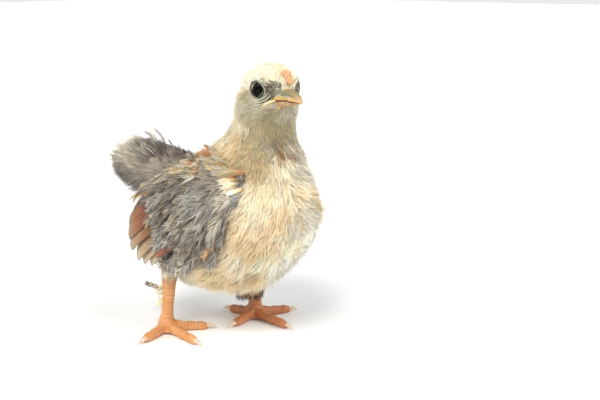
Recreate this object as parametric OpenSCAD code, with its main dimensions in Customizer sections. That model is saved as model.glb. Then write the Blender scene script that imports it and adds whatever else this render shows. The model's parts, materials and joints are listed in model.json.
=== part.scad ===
// Wind-up hopping chick: two moulded shells under a down cover, with a clockwork motor
// that swings both legs on one shaft. It faces -Y, its right side is -X and +Z is up.

/* [Body] */
// Thickness of the down cover
cover_t = 2.4; // [1.8:0.1:2.6]
// Wall of the moulded shells
shell_wall = 1.8; // [1.4:0.1:2]
// Rings along the torso
torso_rings = 16; // [12:1:20]
// Rings along the neck and head
head_rings = 12; // [10:1:16]
// Sides of a ring, halved on a shell
ring_sides = 32; // [24:4:40]

/* [Wings and tail] */
// Thickness of a folded wing at its middle
wing_t = 3.4; // [2.4:0.2:4]
// How far the wing tip stands off behind the flank
wing_flare = 14; // [10:1:18]
// Radius of the tail at its widest
tail_r = 13; // [11:0.5:14]

/* [Legs] */
// Half the distance between the legs
leg_x = 24.2; // [23.8:0.1:24.4]
// How far the right leg stands behind the shaft, and the left leg ahead of it
stagger = 10.4; // [8:0.2:11]
// How far each foot stands behind the top of its shank
foot_back = 4.4; // [3:0.2:5]
// Radius of the shank at the ankle
shank_r = 3.1; // [2.6:0.1:3.4]
// Radius of a toe at its root
toe_r = 2.5; // [2.2:0.1:2.8]

/* [Clockwork] */
// Distance from the mid plane to a motor plate
plate_x = 9; // [8.8:0.1:9.2]
// Thickness of a motor plate
plate_t = 1.2; // [1:0.1:1.3]
// Radial running clearance of a pivot
run = 0.05; // [0.03:0.01:0.08]
// Throw of the crank pin
throw = 3; // [2.4:0.1:3.2]
// Turns of the mainspring
spring_turns = 7; // [5:1:8]
// Radius of each loop of the key
key_r = 6; // [5:0.5:7]

/* [Hidden] */
$fn = 48;

// Middle of the whole chick's box, which is moved to the origin
middle = [4.45, 10.28];
module placed() translate([-middle[0], -middle[1], 0]) children();

// ---- The body's outline: [height, front, back, half width], where front and back run along -Y ----
OUTLINE = [[29, 28, -10, 13], [35, 41, -24, 24], [44, 51.4, -34, 31], [55, 60.4, -39, 33.5],
    [66, 64.9, -39, 34], [77, 63.1, -34, 33], [87, 59, -22, 29], [96, 55, -4, 24.4],
    [104, 52.4, 10, 20.6], [111, 50.5, 18, 17.5], [119, 51, 23, 16], [127, 52.5, 25.5, 16.3],
    [136, 54, 26, 16.6], [143, 52.5, 28, 14.5], [148, 48, 33, 9], [150.3, 42.5, 37.5, 2.6]];
roundness = 2.2;
neck_u = 8.6;
crown_z = 150.3;
brow_z = 128;
belly_z = 29;
flank_z = 44;
layer_gap = 0.24;
shell_out = cover_t + layer_gap;
shell_in = shell_out + shell_wall;

// A smooth curve through four rows of the outline
function curve(a, b, c, d, t) = 0.5 * ((2 * b) + (c - a) * t + (2 * a - 5 * b + 4 * c - d) * t * t
    + (3 * b - a - 3 * c + d) * t * t * t);
last_row = len(OUTLINE) - 1;
function row(i) = OUTLINE[min(max(i, 0), last_row)];
function outline_at(u) = let (i = min(floor(u), last_row - 1))
    curve(row(i - 1), row(i), row(i + 1), row(i + 2), u - i);
// A size drawn in by d, and by less where it is smaller than k
function drawn_in(v, d, k) = v > k ? v - d : v * (1 - d / k);
function drawn_z(z, d) = z > brow_z ? brow_z + (z - brow_z) * (1 - d / (crown_z - brow_z))
    : z < flank_z ? flank_z - (flank_z - z) * (1 - d / (flank_z - belly_z)) : z;
function rounded(v) = sign(v) * pow(abs(v), 2 / roundness);
function ring_point(s, a, d) = let (half = (s[1] - s[2]) / 2)
    [drawn_in(s[3], d, 16) * rounded(cos(a)),
     -(s[1] + s[2]) / 2 - drawn_in(half, d, 13) * rounded(sin(a)), drawn_z(s[0], d)];
// Rings from u0 to u1, drawn in by d, over the angles a0 to a1
function rings(u0, u1, n, d, a0, a1, m) = [for (i = [0:n]) let (s = outline_at(u0 + (u1 - u0) * i / n))
    [for (j = [0:m]) ring_point(s, a0 + (a1 - a0) * j / m, d)]];
// Half width of the body at a height and a distance forward, with its back moved by flare
DENSE = [for (i = [0:4 * last_row]) outline_at(i / 4)];
function column(k) = [for (s = DENSE) [s[0], s[k]]];
function side_x(front, z, flare = 0) = let (f = lookup(z, column(1)), b = lookup(z, column(2)) - flare,
    t = abs(front - (f + b) / 2) / ((f - b) / 2))
    lookup(z, column(3)) * pow(max(1 - pow(t, roundness), 0), 1 / roundness);
function flank_x(front, z) = max(side_x(front, z), side_x(front, z, wing_flare));

// ---- Solids made from grids of points ----
function joined(g) = [for (r = g) for (p = r) p];
function quads(n, m) = [for (i = [0:n - 2]) for (j = [0:m - 2])
    [i * m + j, i * m + j + 1, (i + 1) * m + j + 1, (i + 1) * m + j]];
function flipped(faces, s) = [for (f = faces) [for (k = [len(f) - 1:-1:0]) f[k] + s]];
// An open sheet with a wall: outer and inner are grids of the same size
module walled(outer, inner) {
    n = len(outer);
    m = len(outer[0]);
    s = n * m;
    top = (n - 1) * m;
    polyhedron(concat(joined(outer), joined(inner)), concat(quads(n, m), flipped(quads(n, m), s),
        [for (j = [0:m - 2]) [j, s + j, s + j + 1, j + 1]],
        [for (j = [0:m - 2]) [top + j, top + j + 1, s + top + j + 1, s + top + j]],
        [for (i = [0:n - 2]) [i * m, (i + 1) * m, s + (i + 1) * m, s + i * m]],
        [for (i = [0:n - 2]) [(i + 1) * m - 1, s + (i + 1) * m - 1, s + (i + 2) * m - 1, (i + 2) * m - 1]]));
}
function loop_quads(n, m) = [for (i = [0:n - 2]) for (j = [0:m - 1])
    [i * m + j, i * m + (j + 1) % m, (i + 1) * m + (j + 1) % m, (i + 1) * m + j]];
// Rings without their doubled last point
function open_loop(g) = [for (r = g) [for (j = [0:len(r) - 2]) r[j]]];
// A closed loft through rings
module lofted(g) {
    n = len(g);
    m = len(g[0]);
    polyhedron(joined(g), concat(loop_quads(n, m), [[for (j = [m - 1:-1:0]) j]],
        [[for (j = [0:m - 1]) (n - 1) * m + j]]));
}
// A sleeve with a wall, open at its lower end and, unless capped, at its upper end
module sleeve(outer, inner, capped) {
    n = len(outer);
    m = len(outer[0]);
    s = n * m;
    top = (n - 1) * m;
    ends = capped ? [[for (j = [0:m - 1]) top + j], [for (j = [m - 1:-1:0]) s + top + j]]
        : [for (j = [0:m - 1]) [top + j, top + (j + 1) % m, s + top + (j + 1) % m, s + top + j]];
    polyhedron(concat(joined(outer), joined(inner)), concat(loop_quads(n, m), flipped(loop_quads(n, m), s),
        [for (j = [0:m - 1]) [j, s + j, s + (j + 1) % m, (j + 1) % m]], ends));
}
// The body's whole volume between two rows, drawn in by d
module body_volume(u0, u1, d, n) lofted(open_loop(rings(u0, u1, n, d, 0, 360, ring_sides)));

// ---- Helpers for parts on axes that run along X: a place is [y, z] ----
module along_x(x0, x1, r, at) translate([x0, at[0], at[1]]) rotate([0, 90, 0]) cylinder(h = x1 - x0, r = r);
module slab(x0, x1) translate([x0, 0, 0]) rotate([90, 0, 90]) linear_extrude(x1 - x0) children();
module disc(at, r) translate(at) circle(r = r);
module bar(a, b, ra, rb) hull() { disc(a, ra); disc(b, rb); }
module ball_chain(points, radii, n = 16) hull()
    for (k = [0:len(points) - 1]) translate(points[k]) sphere(r = radii[k], $fn = n);
function polar(c, r, a) = [c[0] + r * cos(a), c[1] + r * sin(a)];

// ---- Places of the clockwork's axes, [y, z] ----
module_1 = 0.8;
module_2 = 0.6;
module_3 = 0.5;
great_teeth = 48;
second_leaves = 12;
second_teeth = 40;
crank_leaves = 10;
third_teeth = 36;
star_leaves = 10;
star_teeth = 12;
winder = [-20, 70];
second = [winder[0] + module_1 * (great_teeth + second_leaves) / 2, winder[1]];
crank_angle = -55;
crank = polar(second, module_2 * (second_teeth + crank_leaves) / 2, crank_angle);
star_angle = 40;
star = polar(crank, module_3 * (third_teeth + star_leaves) / 2, star_angle);
verge = [star[0], star[1] + 8.9];
hip = [0, 47];
rocker_tip = [0, 59];
pin_place = [crank[0], crank[1] - throw];
pillars = [[-36, 50], [-36, 90], [10, 84], [24, 52]];
post_angle = 135;
post = polar(winder, 16, post_angle);
winder_r = 1.5;
arbor_r = 1.1;
pivot_r = 0.8;
shaft_r = 1.5;

// ---- Gear outlines ----
pressure = 20;
thinned = 0.84;
function involute(r, base) = let (a = acos(min(base / r, 1))) tan(a) * 180 / PI - a;
function tooth_half(n, m, r) = let (p = m * n / 2, base = p * cos(pressure))
    90 / n * thinned + involute(p, base) - involute(max(r, base), base);
// Outline of a wheel of n teeth of module m, with a tooth at angle turn
module toothed(n, m, turn) {
    p = m * n / 2;
    radii = [p - 1.2 * m, p - 0.5 * m, p, p + 0.85 * m];
    polygon([for (k = [0:n - 1]) for (s = [-1, 1]) for (q = [0:3])
        let (r = s < 0 ? radii[q] : radii[3 - q]) polar([0, 0], r, turn + k * 360 / n + s * tooth_half(n, m, r))]);
}
// Turn of wheel b that meshes with wheel a, where direction runs from a to b
function meshed(direction, turn_a, teeth_a, teeth_b) =
    direction + 180 - (0.5 - (direction - turn_a) * teeth_a / 360) * 360 / teeth_b;
great_turn = 0;
second_pinion_turn = meshed(0, great_turn, great_teeth, second_leaves);
crank_pinion_turn = meshed(crank_angle, 0, second_teeth, crank_leaves);
star_pinion_turn = meshed(star_angle, 0, third_teeth, star_leaves);
module wheel(at, x0, x1, n, m, turn, bore) difference() {
    slab(x0, x1) translate(at) toothed(n, m, turn);
    along_x(x0 - 1, x1 + 1, bore, at);
}

// ---- Openings through the shells and the cover ----
arch_r = 10.5;
eye_place = [-47, 136.3];
eye_r = 3.2;
// Width, foot and height of the window behind the beak
beak_window = [14, 126.3, 9.6];
module side_hole(s, r, at) along_x(s < 0 ? -40 : 18.8, s < 0 ? -18.8 : 40, r, at);
module leg_arches(r) for (s = [-1, 1]) side_hole(s, r, [-s * stagger, 36]);
module beak_hole() translate([-beak_window[0] / 2, -58, beak_window[1]])
    cube([beak_window[0], 24, beak_window[2]]);
wing_pegs = [[-30, 82], [6, 64]];
peg_r = 2;
// Places where the tail's peg begins and how high it lies
tail_peg = [27.5, 76];
module tail_bore(r) translate([0, tail_peg[0], tail_peg[1]]) rotate([-90, 0, 0]) cylinder(h = 30, r = r);
// Screws that join the shells: [y, z, half length of the boss]
screws = [[-54.5, 62, 12.6], [-42.5, 97, 11], [17, 41.5, 12], [-36.2, 41.6, 11]];
boss_r = 3.4;
screw_r = 1.3;
// Posts that clamp the motor: [y, z, end]
clamps = [[-30, 56, 28.3], [14, 76, 23.2]];

// One half of the torso: s is 1 on the left and -1 on the right
module torso_half(s) {
    turn = s > 0 ? -90 : 90;
    half = ring_sides / 2 - 2;
    difference() {
        union() {
            translate([s * 0.03, 0, 0]) walled(rings(0, neck_u, torso_rings, shell_out, turn, turn + 180, half),
                rings(0, neck_u, torso_rings, shell_in, turn, turn + 180, half));
            for (b = screws) along_x(s > 0 ? 0.03 : -b[2], s > 0 ? b[2] : -0.03, boss_r, [b[0], b[1]]);
            for (c = clamps) along_x(s > 0 ? plate_x + plate_t + 0.1 : -c[2],
                s > 0 ? c[2] : -plate_x - plate_t - 0.1, 2.2, [c[0], c[1]]);
        }
        leg_arches(arch_r);
        side_hole(s, 4.8, [-s * 2.2, hip[1] - 4]);
        for (p = wing_pegs) along_x(s > 0 ? 15 : -40, s > 0 ? 40 : -15, peg_r, p);
        tail_bore(peg_r);
    }
}
module body_shell_right() color("lightsteelblue") placed() difference() {
    torso_half(-1);
    for (b = screws) {
        along_x(-20, -4, 2.8, [b[0], b[1]]);
        along_x(-5, 1, screw_r + 0.3, [b[0], b[1]]);
    }
}
module body_shell_left() color("lightsteelblue") placed() difference() {
    torso_half(1);
    for (b = screws) along_x(-1, 8, screw_r, [b[0], b[1]]);
    along_x(20, 40, bush_r, winder);
}
module head_half(s) {
    turn = s > 0 ? -90 : 90;
    half = ring_sides / 2 - 2;
    difference() {
        translate([s * 0.03, 0, 0])
            walled(rings(neck_u + 0.02, last_row, head_rings, shell_out, turn, turn + 180, half),
                rings(neck_u + 0.02, last_row, head_rings, shell_in, turn, turn + 180, half));
        along_x(s > 0 ? 6 : -20, s > 0 ? 20 : -6, eye_r, eye_place);
        beak_hole();
    }
}
module head_shell_right() color("lightsteelblue") placed() head_half(-1);
module head_shell_left() color("lightsteelblue") placed() head_half(1);
collar_r = 10.8;
module neck_collar() color("silver") placed() translate([0, -33.6, 101]) difference() {
    cylinder(h = 10.5, r = collar_r);
    translate([0, 0, -1]) cylinder(h = 13, r = collar_r - 1.6);
}
// A flat oval with the same roundness as the body: half length a, half width w
module oval(a, w) polygon([for (k = [0:35]) [w * rounded(cos(k * 10)), a * rounded(sin(k * 10))]]);
module belly_plate() color("ivory") placed() {
    translate([0, -9, 29.6]) linear_extrude(4.9) oval(14, 9);
    translate([0, -9, 34.5]) linear_extrude(1.4) oval(16, 11);
}
module shell_screws() color("silver") placed() for (b = screws) {
    along_x(-6, -4, 2.6, [b[0], b[1]]);
    along_x(-4, 7, screw_r - 0.02, [b[0], b[1]]);
}
module body_cover() color("wheat") placed() difference() {
    sleeve(open_loop(rings(0, neck_u, torso_rings, 0, 0, 360, ring_sides)),
        open_loop(rings(0, neck_u, torso_rings, cover_t, 0, 360, ring_sides)), false);
    leg_arches(arch_r - 0.5);
    for (p = wing_pegs) for (s = [-1, 1]) along_x(s > 0 ? 15 : -40, s > 0 ? 40 : -15, peg_r + 0.3, p);
    along_x(20, 40, bush_r + 0.2, winder);
    tail_bore(peg_r + 0.3);
}
module head_cover() color("lemonchiffon") placed() difference() {
    sleeve(open_loop(rings(neck_u + 0.02, last_row, head_rings, 0, 0, 360, ring_sides)),
        open_loop(rings(neck_u + 0.02, last_row, head_rings, cover_t, 0, 360, ring_sides)), true);
    for (s = [-1, 1]) along_x(s > 0 ? 6 : -20, s > 0 ? 20 : -6, eye_r + 0.1, eye_place);
    beak_hole();
}
module eye(s) color("black") placed() {
    centre = side_x(-eye_place[0], eye_place[1]) - 2.4;
    translate([s * centre, eye_place[0], eye_place[1]]) rotate([0, s * 90, 0]) sphere(r = eye_r - 0.02);
    along_x(s > 0 ? centre - 4 : -centre, s > 0 ? centre : 4 - centre, 2.4, eye_place);
}
module eye_right() eye(-1);
module eye_left() eye(1);

// ---- Beak and comb ----
module upper_beak() color("tan") placed() difference() {
    hull() {
        translate([-6.6, -50, 130.6]) cube([13.2, 6, 5]);
        translate([-3.4, -54.5, 131]) cube([6.8, 4, 4.7]);
        translate([0, -61.2, 131.3]) sphere(r = 0.7, $fn = 16);
    }
    translate([-10, -70, 120]) cube([20, 40, 10.5]);
}
module lower_beak() color("peru") placed() hull() {
    translate([-6.2, -50, 126.6]) cube([12.4, 6, 3.7]);
    translate([-3, -55, 127.6]) cube([6, 4, 2.7]);
    translate([0, -58.6, 129.7]) sphere(r = 0.6, $fn = 16);
}
module comb() color("lightsalmon") placed() difference() {
    ball_chain([[0, -49.6, 146], [0, -53.2, 143], [0, -54.4, 139]], [1.7, 2, 1.5]);
    body_volume(neck_u + 0.02, last_row, -0.05, head_rings);
}

// ---- Wings: a sheet that follows the flank, with its tip standing off ----
wing_top = [[-40, 62], [-30, 74], [-10, 87], [10, 95], [29, 99.5], [43, 96]];
wing_low = [[-40, 52], [-30, 45.5], [-10, 47], [10, 49], [22, 53], [34, 59], [43, 80]];
wing_rows = 10;
wing_columns = 16;
wing_gap = 0.6;
function wing_point(i, j, off) = let (f = -40 + 83 * j / wing_columns, v = i / wing_rows,
    z = lookup(f, wing_low) * (1 - v) + lookup(f, wing_top) * v)
    [flank_x(f, z) + off, -f, z];
function wing_edge(i) = 1 - pow(abs(2 * i / wing_rows - 1), 4);
module folded_wing(keyed) difference() {
    union() {
        walled([for (i = [0:wing_rows]) [for (j = [0:wing_columns])
                wing_point(i, j, wing_gap + 1 + (wing_t - 1) * wing_edge(i))]],
            [for (i = [0:wing_rows]) [for (j = [0:wing_columns]) wing_point(i, j, wing_gap)]]);
        for (p = wing_pegs) along_x(21, side_x(-p[0], p[1]) + 2, peg_r - 0.02, p);
    }
    if (keyed) along_x(20, 60, bush_r + 0.05, winder);
}
module wing_right() color("darkgray") placed() mirror([1, 0, 0]) folded_wing(false);
module wing_left() color("darkgray") placed() folded_wing(true);
module tail() color("gray") placed() difference() {
    union() {
        ball_chain([[0, 30, 82], [0, 62, 87], [0, 76, 84]], [tail_r + 1.5, tail_r - 0.5, tail_r - 3.5], 24);
        tail_bore(peg_r - 0.02);
    }
    difference() {
        body_volume(0, neck_u, -0.3, torso_rings);
        tail_bore(peg_r - 0.02);
    }
}

// ---- Motor frame ----
module plate_outline() hull() {
    for (p = pillars) disc(p, p[0] == 10 ? 4 : 5);
    disc(hip, 5.5);
    disc(verge, 4.5);
}
module motor_plate(x0, winder_hole, crank_hole) difference() {
    slab(x0, x0 + plate_t) plate_outline();
    for (p = pillars) along_x(x0 - 1, x0 + 3, pivot_r + 0.1, p);
    for (p = [second, star, verge]) along_x(x0 - 1, x0 + 3, pivot_r + run, p);
    along_x(x0 - 1, x0 + 3, winder_hole, winder);
    along_x(x0 - 1, x0 + 3, crank_hole, crank);
    along_x(x0 - 1, x0 + 3, shaft_r + 1.5, hip);
    if (x0 < 0) along_x(x0 - 1, x0 + 3, 1, post);
}
module motor_plate_right() color("gainsboro") placed()
    motor_plate(-plate_x - plate_t, winder_r + run, arbor_r + run);
module motor_plate_left() color("gainsboro") placed() motor_plate(plate_x, winder_r + run, pivot_r + run);
module frame_pillars() color("silver") placed() for (p = pillars) difference() {
    along_x(-plate_x, plate_x, 2.2, p);
    for (s = [-1, 1]) along_x(s > 0 ? plate_x - 6 : -plate_x - 1, s > 0 ? plate_x + 1 : 6 - plate_x, pivot_r, p);
}
module pillar_screws() color("darkgray") placed() for (p = pillars) for (s = [-1, 1]) {
    face = plate_x + plate_t;
    along_x(s > 0 ? face : -face - 1, s > 0 ? face + 1 : -face, 1.9, p);
    along_x(s > 0 ? face - 5 : -face, s > 0 ? face : 5 - face, pivot_r - 0.02, p);
}

// ---- Mainspring and winding work ----
spring_in = 2.1;
spring_out = 14.2;
strip = 0.4;
spring_steps = 28 * spring_turns;
function spiral(k, off) = polar(winder, spring_in + (spring_out - spring_in) * k / spring_steps + off,
    post_angle - 360 * spring_turns * (1 - k / spring_steps));
module mainspring() color("steelblue") placed() slab(-8, -2) difference() {
    union() {
        polygon(concat([for (k = [0:spring_steps]) spiral(k, strip / 2)],
            [for (k = [spring_steps:-1:0]) spiral(k, -strip / 2)]));
        disc(post, 2);
    }
    disc(post, 1.5);
}
module spring_post() color("silver") placed() {
    along_x(-plate_x, -1.6, 1.4, post);
    along_x(-plate_x - plate_t, -plate_x, 1, post);
}
square = 2.3;
bush_r = 3.3;
bush_end = 39.3;
module winding_arbor() color("silver") placed() {
    along_x(-plate_x - plate_t, bush_end + 0.2, winder_r, winder);
    translate([bush_end + 0.2, winder[0] - square / 2, winder[1] - square / 2]) cube([5.2, square, square]);
}
ratchet_tip = 6.2;
module ratchet_wheel() color("goldenrod") placed() difference() {
    slab(-0.6, 0.6) translate(winder) polygon([for (k = [0:11]) for (q = [0, 1])
        polar([0, 0], q == 0 ? 4.8 : ratchet_tip, k * 30 + q * 27)]);
    along_x(-2, 2, winder_r, winder);
}
// The click's pivot, the post of its spring and the click's nose, which rides just outside the ratchet
click_place = polar(winder, 12.5, 70);
catch_place = polar(winder, 14, 100);
click_nose = polar(winder, ratchet_tip + 0.65, 47);
module great_wheel() color("gold") placed() difference() {
    wheel(winder, 1, 2.2, great_teeth, module_1, great_turn, winder_r + run);
    for (a = [130:60:370]) along_x(0, 3, 3.6, polar(winder, 10.6, a));
    along_x(0, 3, 0.8, click_place);
    along_x(0, 3, 0.6, catch_place);
}
module click() color("darkgoldenrod") placed() difference() {
    slab(-0.6, 0.6) bar(click_place, click_nose, 1.9, 0.5);
    along_x(-2, 2, 0.8 + run, click_place);
}
module click_pin() color("silver") placed() {
    along_x(-1.3, 2.2, 0.8, click_place);
    along_x(-1.7, -1.3, 1.5, click_place);
}
// A wire eye round the click's pin, with one arm to a post and one along the click
module click_spring() color("steelblue") placed() {
    along_x(-1.1, 2.2, 0.6, catch_place);
    slab(-1.1, -0.7) difference() {
        union() {
            disc(click_place, 1.5);
            bar(click_place, catch_place, 0.4, 0.4);
            bar(click_place, polar(winder, 8.6, 52), 0.4, 0.3);
        }
        disc(click_place, 0.9);
    }
}

// ---- Going train ----
module arbor(at, x0, x1, r) along_x(x0, x1, r, at);
module pivots(at) {
    arbor(at, -plate_x - plate_t, 0.4 - plate_x, pivot_r);
    arbor(at, plate_x - 0.4, plate_x + plate_t, pivot_r);
    arbor(at, 0.4 - plate_x, plate_x - 0.4, arbor_r);
}
module leaves(at, x0, x1, n, m, turn) slab(x0, x1) translate(at) toothed(n, m, turn);
module second_arbor() color("silver") placed() {
    pivots(second);
    leaves(second, 0.4, 2.8, second_leaves, module_1, second_pinion_turn);
}
module second_wheel() color("gold") placed() difference() {
    wheel(second, 5, 6, second_teeth, module_2, 0, arbor_r);
    for (a = [0:72:288]) along_x(4, 7, 2.2, polar(second, 6.6, a));
}
module crank_arbor() color("silver") placed() {
    arbor(crank, -12.6, plate_x - 0.4, arbor_r);
    arbor(crank, plate_x - 0.4, plate_x + plate_t, pivot_r);
    leaves(crank, 4.4, 6.6, crank_leaves, module_2, crank_pinion_turn);
}
module third_wheel() color("gold") placed() wheel(crank, -4.5, -3.5, third_teeth, module_3, 0, arbor_r);
module crank_disc() color("darkgray") placed() difference() {
    along_x(-12.6, -11.2, 4.6, crank);
    along_x(-14, -10, arbor_r, crank);
    along_x(-14, -10, 0.9, pin_place);
}
module crank_pin() color("silver") placed() along_x(-13.6, -11.2, 0.9, pin_place);
module star_arbor() color("silver") placed() {
    pivots(star);
    leaves(star, -5, -3, star_leaves, module_3, star_pinion_turn);
}
star_r = 6;
module star_wheel() color("gold") placed() difference() {
    slab(1, 2) translate(star) polygon([for (k = [0:star_teeth - 1]) for (q = [0, 1])
        polar([0, 0], q == 0 ? star_r : star_r - 2, (k + q / 2) * 360 / star_teeth)]);
    along_x(0, 3, arbor_r, star);
}
module pallet_arbor() color("silver") placed() pivots(verge);
pallet_pins = [for (s = [-1, 1]) [verge[0] + s * 3.4, verge[1] - 2.95]];
module pallet() color("tan") placed() {
    difference() {
        slab(2.6, 3.6) for (p = pallet_pins) bar(verge, p, 1.9, 0.8);
        along_x(0, 5, arbor_r, verge);
    }
    for (p = pallet_pins) along_x(0.6, 2.6, 0.45, p);
}

// ---- Link, rocker and legs ----
link_x = [-15.3, -13.9];
module connecting_link() color("darkgray") placed() difference() {
    slab(link_x[0], link_x[1]) bar(rocker_tip, pin_place, 2.4, 2.4);
    along_x(-17, -12, 1 + run, rocker_tip);
    along_x(-17, -12, 1.2, pin_place);
}
module link_pin() color("silver") placed() {
    along_x(-15.7, -12, 1, rocker_tip);
    along_x(-16.2, -15.7, 1.8, rocker_tip);
}
module rocker_arm() color("darkgray") placed() difference() {
    union() {
        slab(-13.3, -12) bar(hip, rocker_tip, 3.5, 2.2);
        along_x(-13, -11.4, 2.8, hip);
    }
    along_x(-20, -10, shaft_r, hip);
    along_x(-20, -10, 1, rocker_tip);
}
module leg_shaft() color("silver") placed() along_x(-25.6, 25.6, shaft_r, hip);
module leg_bushes() color("ivory") placed() for (s = [-1, 1]) difference() {
    union() {
        along_x(s > 0 ? plate_x : -plate_x - plate_t, s > 0 ? plate_x + plate_t : -plate_x, shaft_r + 1.5, hip);
        along_x(s > 0 ? plate_x + plate_t : -11, s > 0 ? 11 : -plate_x - plate_t, 4.2, hip);
    }
    along_x(-20, 20, shaft_r + run, hip);
}
// A rod between two points of the plane at x
module rod(x, a, b, r) {
    d = b - a;
    translate([x, a[0], a[1]]) rotate([-atan2(d[0], d[1]), 0, 0]) cylinder(h = norm(d), r = r);
}
rod_r = 1.6;
rod_x = 23.4;
socket_z = 27;
knee_z = 38.5;
module hip_arm(s) color("darkgray") placed() {
    foot_y = -s * stagger;
    difference() {
        union() {
            along_x(s > 0 ? 20.7 : -25.2, s > 0 ? 25.2 : -20.7, 3.4, hip);
            rod(s * rod_x, hip, [foot_y, knee_z], rod_r);
        }
        along_x(-30, 30, shaft_r, hip);
    }
    translate([s * rod_x, foot_y, knee_z]) sphere(r = rod_r + 0.3);
    rod(s * rod_x, [foot_y, socket_z], [foot_y, knee_z], rod_r);
}
module hip_arm_right() hip_arm(-1);
module hip_arm_left() hip_arm(1);
shank_top = 35.5;
ankle_z = 5.3;
lean = atan(foot_back / (shank_top - ankle_z));
thigh_h = 8.2;
calf_h = 17;
module foot_placed(s) translate([s * leg_x, foot_back - s * stagger, 0]) children();
module shank(s) color("sandybrown") placed() difference() {
    translate([s * leg_x, -s * stagger, shank_top]) rotate([lean, 0, 0]) {
        translate([0, 0, -thigh_h]) cylinder(h = thigh_h, r1 = shank_r + 0.7, r2 = shank_r + 1);
        translate([0, 0, -thigh_h - calf_h]) cylinder(h = calf_h, r1 = shank_r, r2 = shank_r + 0.7);
        translate([0, 0, -thigh_h - calf_h - 7]) cylinder(h = 7, r1 = shank_r + 1.5, r2 = shank_r);
    }
    foot_placed(s) translate([0, 0, ankle_z - 8]) cylinder(h = 8, r = 12);
    rod(s * rod_x, [-s * stagger, socket_z - 0.5], [-s * stagger, shank_top + 1], rod_r);
}
module shank_right() shank(-1);
module shank_left() shank(1);
// Toes: [direction from straight ahead, towards the outer side; length]
right_toes = [[76.3, 22.22], [9.2, 30.1], [-49, 24], [-143, 12]];
left_toes = [[63.5, 23.1], [-6, 29.2], [-81, 21], [-174, 18.8]];
sole_r = 5.2;
sole_t = 5.3;
function toe_tip(s, t, f) = [s * sin(t[0]) * t[1] * f, -cos(t[0]) * t[1] * f];
module foot(s, toes) color("coral") placed() foot_placed(s) {
    cylinder(h = sole_t, r = sole_r);
    for (t = toes) {
        mid = toe_tip(s, t, 0.5);
        tip = toe_tip(s, t, 0.88);
        ball_chain([[0, 0, toe_r + 0.2], [mid[0], mid[1], toe_r], [tip[0], tip[1], toe_r - 0.5]],
            [toe_r, toe_r - 0.1, toe_r - 0.6]);
    }
}
module foot_right() foot(-1, right_toes);
module foot_left() foot(1, left_toes);
module claws(s, toes) color("mistyrose") placed() foot_placed(s) for (t = toes) {
    root = toe_tip(s, t, 0.88);
    rotate([0, 0, 180 + s * t[0]]) translate([0, t[1] * 0.88 + toe_r - 0.55, toe_r - 0.5])
        rotate([-100, 0, 0]) cylinder(h = 4.2, r1 = 1, r2 = 0.25, $fn = 24);
}
module claws_right() claws(-1, right_toes);
module claws_left() claws(1, left_toes);

// ---- Key ----
hub_x = bush_end + 0.6;
hub_len = 6.2;
module winding_key() color("goldenrod") placed() difference() {
    union() {
        along_x(hub_x, hub_x + hub_len, 3.2, winder);
        translate([0, winder[0] + 0.9, winder[1]]) rotate([90, 0, 0]) linear_extrude(1.8) difference() {
            union() {
                for (s = [-1, 1]) translate([hub_x + hub_len + key_r, s * key_r]) circle(r = key_r);
                translate([hub_x + hub_len - 1, -3]) square([key_r + 1, 6]);
            }
            for (s = [-1, 1]) translate([hub_x + hub_len + key_r, s * key_r]) circle(r = key_r * 0.55);
        }
    }
    translate([hub_x - 1, winder[0] - square / 2 - run, winder[1] - square / 2 - run])
        cube([hub_len, square + 2 * run, square + 2 * run]);
}
module key_bush() color("goldenrod") placed() difference() {
    union() {
        along_x(28, bush_end, bush_r, winder);
        along_x(bush_end - 1, bush_end, 6, winder);
    }
    along_x(20, 50, winder_r + 0.2, winder);
}

body_shell_right();
body_shell_left();
head_shell_right();
head_shell_left();
neck_collar();
belly_plate();
shell_screws();
body_cover();
head_cover();
eye_right();
eye_left();
upper_beak();
lower_beak();
comb();
wing_right();
wing_left();
tail();
motor_plate_right();
motor_plate_left();
frame_pillars();
pillar_screws();
mainspring();
spring_post();
winding_arbor();
ratchet_wheel();
great_wheel();
click();
click_pin();
click_spring();
second_arbor();
second_wheel();
crank_arbor();
third_wheel();
crank_disc();
crank_pin();
star_arbor();
star_wheel();
pallet_arbor();
pallet();
connecting_link();
link_pin();
leg_shaft();
leg_bushes();
rocker_arm();
hip_arm_right();
hip_arm_left();
shank_right();
shank_left();
foot_right();
foot_left();
claws_right();
claws_left();
winding_key();
key_bush();
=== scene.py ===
"""Looks of the wind-up hopping chick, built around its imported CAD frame."""
import json
import math

import bpy
import numpy as np
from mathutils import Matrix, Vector


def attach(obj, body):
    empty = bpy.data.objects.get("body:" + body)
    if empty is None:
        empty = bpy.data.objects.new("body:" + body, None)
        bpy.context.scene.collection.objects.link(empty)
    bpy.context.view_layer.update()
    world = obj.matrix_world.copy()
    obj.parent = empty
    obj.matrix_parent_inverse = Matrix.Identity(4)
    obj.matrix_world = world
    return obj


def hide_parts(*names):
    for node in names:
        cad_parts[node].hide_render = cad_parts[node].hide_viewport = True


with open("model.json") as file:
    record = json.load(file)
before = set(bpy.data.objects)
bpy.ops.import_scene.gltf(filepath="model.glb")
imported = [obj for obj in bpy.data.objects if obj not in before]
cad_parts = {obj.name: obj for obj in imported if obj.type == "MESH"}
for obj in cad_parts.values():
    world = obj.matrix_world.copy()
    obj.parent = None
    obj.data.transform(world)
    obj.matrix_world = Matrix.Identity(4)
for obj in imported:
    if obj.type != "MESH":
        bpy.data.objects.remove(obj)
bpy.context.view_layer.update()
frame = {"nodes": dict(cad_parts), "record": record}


# ---------------------------------------------------------------- places
# Bird coordinates are in mm: x to its left, y backwards, z up. MID takes them to the frame.
MID = np.array([4.45, 10.28, 0.0])


def to_frame(p):
    """Bird mm to frame m."""
    return (np.asarray(p, float) - MID) / 1000


def bird(x, forward, z):
    """A place in bird mm from its distance forward."""
    return np.array([x, -forward, z], float)


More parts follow.
